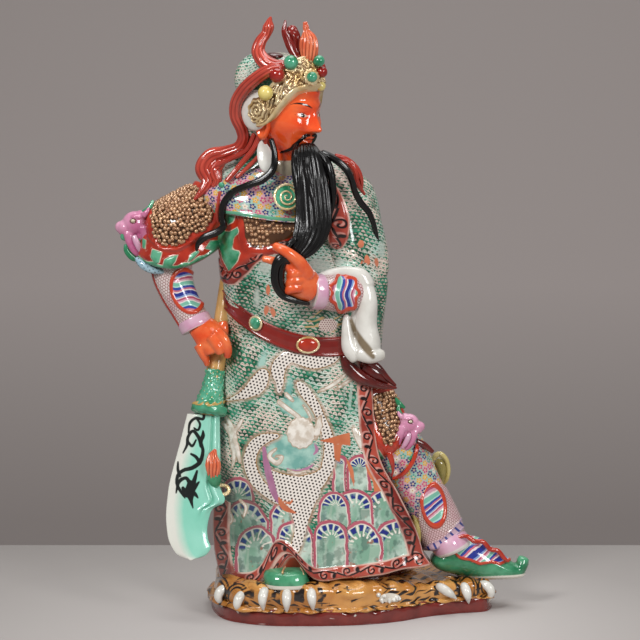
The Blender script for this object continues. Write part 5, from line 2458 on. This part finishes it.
    def make_shoes(self) -> None:
        """Makes the shoe with its striped vamp and turned-up toe, and the toe of the right shoe."""
        shoe = strap(self.shoe, 84, 108, ends=(0.05, 0.04))
        ground = -9.5 + 2 * smooth((shoe.points[..., 0] - 150) / 30)
        shoe.points[..., 2] = np.maximum(shoe.points[..., 2], ground)
        x, y = shoe.front()
        vamp = overlay(shoe, -polygon(x, y, self.vamp), 1.4, 3.0)
        low = shoe.points[..., 2] - ground
        shoe.fields["sole"] = 4.0 - low
        shoe.raise_by(1.4 * smooth((4.0 - low) / 1.2))
        lay("left_shoe", shoe, Finish.SHOE)
        x, y = vamp.front()
        inside = -polygon(x, y, self.vamp) - 2.4
        vamp.fields["window"] = inside
        vamp.raise_by(0.9 * crest(inside + 1.4, 1.6))
        lay("striped_vamp", vamp, Finish.VAMP)
        lay("vamp_piping", limb(traced(*self.vamp_piping), 20, 90), Finish.RED)
        rows = [(h, self.foot_x + dx, *rest) for h, dx, *rest in (
            (-4, 0, -68, 22, 25), (-2, 0, -68, 23, 26), (5, -1, -68, 23, 26), (11, -1, -67, 21, 23),
            (15, -1, -65, 14, 16))]
        toe = column(rows, 72, 36, square=2.7, ends=(0.02, 0.2))
        toe.fields["sole"] = (0.4 - toe.points[..., 2]) * 2
        lay("right_shoe", toe, Finish.SHOE)
        ring = [(*(spot_on(toe, *spot)[0]), 1.0, 1.0) for spot in self.gilt_line]
        lay("shoe_gilt_line", limb(ring, 12, 60, facing=(0, 0, 1)), Finish.GOLD)


@dataclass
class Glaive:
    """The glaive held head down: tan shaft, green socket, and a broad blade with a flame and a ring."""

    shaft_radius: float = 9.0
    thickness: float = 11.0
    blade_top: float = 162.0
    blade_length: float = 138.0
    foot: Place = (-113, -40, 168)
    lean: tuple[float, float] = (0.15, 0.28)
    socket: Rows = (
        # height and radius in shaft radii
        (160, 0.6), (161, 1.5), (163, 1.9), (166, 2.0), (169, 1.92), (171, 1.6), (174, 1.55), (178, 1.4),
        (184, 1.22), (192, 1.1), (198, 1.02), (202, 1.06), (204, 0.95),
    )
    back_edge: Rows = (
        (162, -103), (140, -102.5), (118, -102), (104, -102), (95, -103), (88, -100.5), (82, -97.5), (77, -99),
        (72, -109), (62, -113), (52, -114.5), (43, -113.5), (36, -111), (31, -113), (27, -118), (24, -129),
    )
    cutting_edge: Rows = (
        (162, -135), (134, -142), (100, -151), (84, -153.6), (66, -155), (52, -154), (42, -152), (34, -148),
        (29, -144), (26, -138), (24, -131),
    )
    vine: tuple[Rows, ...] = (
        # brush strokes on the front drawing
        ((204, 413, 1.4), (203, 419, 1.3), (196, 418, 1.3), (190, 423, 1.3), (188.5, 433, 0.8)),
        ((196, 418, 0.8), (200, 424, 1.1), (198, 430, 1.1), (194, 428, 0.8)),
        ((203, 431, 0.8), (203, 436, 2), (201, 442, 1.5), (203, 451, 1.6), (200, 462, 2), (192, 468, 2),
         (184, 470, 1.7), (178, 475, 1.6),
         (177, 484, 1.6), (181, 492, 1.3), (185, 498, 0.6)),
        ((183, 453, 0.6), (187, 445, 1.3), (188, 437, 1.4), (193, 431, 1.4), (199, 438, 1.8), (201, 446, 1.6)),
        ((187, 440, 1), (192, 446, 1.3), (196, 440, 0.8)), ((191, 454, 1), (196, 457, 1.6), (200, 463, 1.6)),
        ((178, 462, 0.8), (178, 470, 1.4), (180, 476, 1.2)),
        ((176, 493, 0.6), (179, 482, 1.6), (186, 478, 1.6), (190, 484, 2)),
        ((190, 482, 2), (190, 491, 4.6), (191, 500, 2), (193, 508, 0.6)),
        ((183, 488, 1.6), (186, 494, 3), (190, 496, 1)), ((197, 471, 1), (194, 481, 2.2), (190, 490, 3)),
        ((199, 482, 0.8), (195, 487, 2), (191, 492, 3)), ((198, 498, 0.6), (195, 494, 1.8), (191, 491, 2)),
    )

    def build(self) -> None:
        """Makes the glaive from the shaft down."""
        rows = [(*self.at(h), self.shaft_radius, self.shaft_radius) for h in (160, 205, 250, 295)]
        lay("shaft", limb(rows, 40, 60, ends=(0, 0.04)), Finish.WOOD)
        self.make_socket()
        self.make_blade()
        Strands("blade_flame", Finish.FLAME, (
            traced((214, 480, -66, 3.6), (213.5, 473, -67, 6), (213, 464, -67, 7), (213, 456, -66, 4.6),
                   (215.5, 449, -64, 1)),
        ), grooves=10, depth=0.12, twist=2.0, sides=110).build()
        cup = limb(traced((215, 487, -62, 3), (215, 482, -64, 6), (214, 476, -65, 7), (214, 473, -65, 5.4)), 60, 40,
                   swell=lambda a, s: 1 + 0.08 * np.cos(a * 7) * smooth(s))
        lay("flame_cup", cup, Finish.GREEN)
        spot, out = np.array(from_front(222.5, 490, -60)), unit(np.array([0.1, -0.8, 0.62]))
        lay("blade_ring", frame_ring(spot, out, 6.4, 5.2, 1.9), Finish.GOLD)

    def at(self, h: float) -> Place:
        """The middle of the shaft at a height."""
        rise = h - self.foot[2]
        return self.foot[0] + self.lean[0] * rise, self.foot[1] + self.lean[1] * rise, h

    def make_socket(self) -> None:
        """Makes the green socket with its gilt specks and scrolls and its flared collar."""
        rows = [(*self.at(h), self.shaft_radius * k, self.shaft_radius * k) for h, k in self.socket]
        socket = limb(rows, 88, 88, ends=(0.05, 0.02))
        u, v = socket.across * 80, socket.points[..., 2] - 160
        collar = crest(v - 13.5, 3.5)
        curls = scrollwork(u, v - 6, 8.0)
        specks = np.cos(u * 0.75 + v * 0.2) * np.cos(v * 0.8 - u * 0.15)
        socket.fields["gilt"] = np.maximum(curls * 3 - 4 + 2.6 * collar, (specks - 0.8) * 6 * (v > 17))
        pebbles = 0.9 * smooth(specks) * (v > 17) + 0.5 * np.cos(u * 0.5) * np.cos(v * 0.5)
        socket.raise_by(0.9 * smooth(curls) * collar + pebbles)
        lay("green_socket", socket, Finish.SOCKET)

    def make_blade(self) -> None:
        """Makes the blade: thin at the cutting edge, ribbed along the back."""
        back = course(self.back_edge, np.linspace(0, 1, 1200))
        cutting = course(self.cutting_edge, np.linspace(0, 1, 1200))

        def edge(table: Array, h: Array) -> Array:
            """The x of an edge at a height."""
            order = np.argsort(table[:, 0])
            return np.interp(h, table[order, 0], table[order, 1])

        def face(across: Array, along: Array, way: float) -> Array:
            """Points on one side of the blade."""
            h = self.blade_top - self.blade_length * along
            left, right = edge(cutting, h), edge(back, h)
            x = left + (right - left) * across
            section = np.sqrt(np.clip(4 * across * (1 - across) + 0.12, 0, 1))
            thick = self.thickness / 2 * (0.16 + 0.84 * smooth((x + 158) / 30)) * section
            rib = 2.2 * bump(across, 0.88, 0.06) - 1.2 * bump(across, 0.79, 0.025) + 1.3 * bump(across, 0.72, 0.03)
            y = self.at(0)[1] + self.lean[1] * h - way * (thick + rib * smooth((h - 60) / 20))
            return np.stack([x, y, h], -1)

        blade = shell(lambda a, v: face(a, v, 1), lambda a, v: face(a, v, -1), 60, 28, 120)
        x, y = blade.front()
        blade.fields["thin"] = np.clip(1 - (blade.points[..., 0] - edge(cutting, blade.points[..., 2])) / 23, 0, 1)
        blade.fields["rib"] = bump(blade.across, 0.79, 0.03) * smooth((blade.points[..., 2] - 60) / 20)
        vine = 0.45 + brushed(x, y, self.vine, 24)
        blade.fields["vine"] = np.where(blade.points[..., 1] < 0, vine, -2)
        lay("blade", blade, Finish.BLADE)


# ---- Studio ----------------------------------------------------------------------------------


@dataclass
class Studio:
    """A pale table, a plain grey backdrop, soft lamps and the camera."""

    table_edge: float = 0.28
    wall_place: float = 2.9
    table_tones: tuple[tuple[float, str], ...] = ((0.15, "#c0bbb9"), (0.36, "#aea9a6"), (0.6, "#9b9693"),
                                                  (0.9, "#8d8885"))
    wall_tones: tuple[tuple[float, str], ...] = ((0.1, "#a19895"), (0.3, "#b1a8a5"), (0.42, "#bab0ad"),
                                                 (0.8, "#aea5a2"))

    def build(self) -> None:
        """Sets everything up round the figure."""
        self.make_camera()
        table, wall = Bench("table"), Bench("backdrop")
        x, y, _ = table.spot()
        shade = table.choose(x.reach(y + 0.1) * 1.6, self.table_tones, sharp=False)
        back = self.table_edge
        self.sheet(table, shade, ((-2.5, -3.0, 0), (2.5, -3.0, 0), (2.5, back, 0), (-2.5, back, 0)))
        shade = wall.choose(wall.spot()[2] * 0.604 + 0.414, self.wall_tones, sharp=False)
        back = self.wall_place
        self.sheet(wall, shade, ((-4, back, -1.5), (4, back, -1.5), (4, back, 3.5), (-4, back, 3.5)))
        self.make_lamps()

    def make_camera(self) -> None:
        """Makes the camera at the photograph's angle."""
        lens = bpy.data.cameras.new("camera")
        lens.lens = 135.0
        lens.sensor_width = 36.0
        lens.clip_end = 20.0
        camera = bpy.data.objects.new("camera", lens)
        bpy.context.scene.collection.objects.link(camera)
        target = Vector(to_frame(VIEW_TARGET))
        back = Vector((0, -math.cos(VIEW_RISE), math.sin(VIEW_RISE)))
        camera.location = target + back * VIEW_DISTANCE * 0.001
        camera.rotation_euler = (math.pi / 2 - VIEW_RISE, 0, 0)
        bpy.context.scene.camera = camera

    def sheet(self, bench: Bench, shade: Amount, corners: Sequence[Place]) -> None:
        """Makes one flat sheet of the set from its bench, its colour and its corners, in metres."""
        bm = bmesh.new()
        bmesh.ops.contextual_create(bm, geom=[bm.verts.new(corner) for corner in corners])
        mesh = bpy.data.meshes.new(bench.material.name)
        bm.to_mesh(mesh)
        bm.free()
        bench.plug(bench.shader.inputs["Base Color"], shade)
        bench.shader.inputs["Roughness"].default_value = 0.9
        mesh.materials.append(bench.material)
        made = bpy.data.objects.new(mesh.name, mesh)
        bpy.context.scene.collection.objects.link(made)

    def make_lamps(self) -> None:
        """Makes the soft lamps and the even light of the room."""
        for name, spot, size, power, aim in (
            ("key", (-1.2, -1.8, 1.8), 0.7, 40, (0, 0, 0.3)), ("fill", (1.5, -1.9, 1.3), 0.8, 28, (0, 0, 0.3)),
            ("top", (0.1, 0.1, 2.3), 1.4, 22, (0, 0, 0.3)), ("wash", (0.6, 1.97, 3.0), 2.1, 21, (0.6, 2.9, 0.34)),
        ):
            lamp = bpy.data.lights.new(name, "AREA")
            lamp.shape = "RECTANGLE"
            lamp.size = size
            lamp.size_y = size
            lamp.energy = power
            held = bpy.data.objects.new(name, lamp)
            bpy.context.scene.collection.objects.link(held)
            held.location = spot
            held.rotation_euler = (Vector(aim) - Vector(spot)).to_track_quat("-Z", "Y").to_euler()
        world = bpy.data.worlds.new("room")
        world.use_nodes = True
        world.node_tree.nodes["Background"].inputs[0].default_value = tint("#cfcdcc")
        world.node_tree.nodes["Background"].inputs[1].default_value = 0.35
        bpy.context.scene.world = world


def main() -> None:
    """Builds the studio and the figure, and notes how its box compares with the solids'."""
    logging.basicConfig(level=logging.INFO, format="%(name)s %(message)s")
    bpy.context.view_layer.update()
    bpy.context.scene.view_settings.view_transform = "Standard"
    Studio().build()
    body = (Plinth(), Skirt(), Body(), RightArm(), LeftArm(), Head(), Hat())
    for part in (*body, RIBBONS, DARK_RIBBON, FLAME, BEARD, LOCKS, SteppingLeg(), Glaive()):
        part.build()


if __name__ == "__main__":
    main()
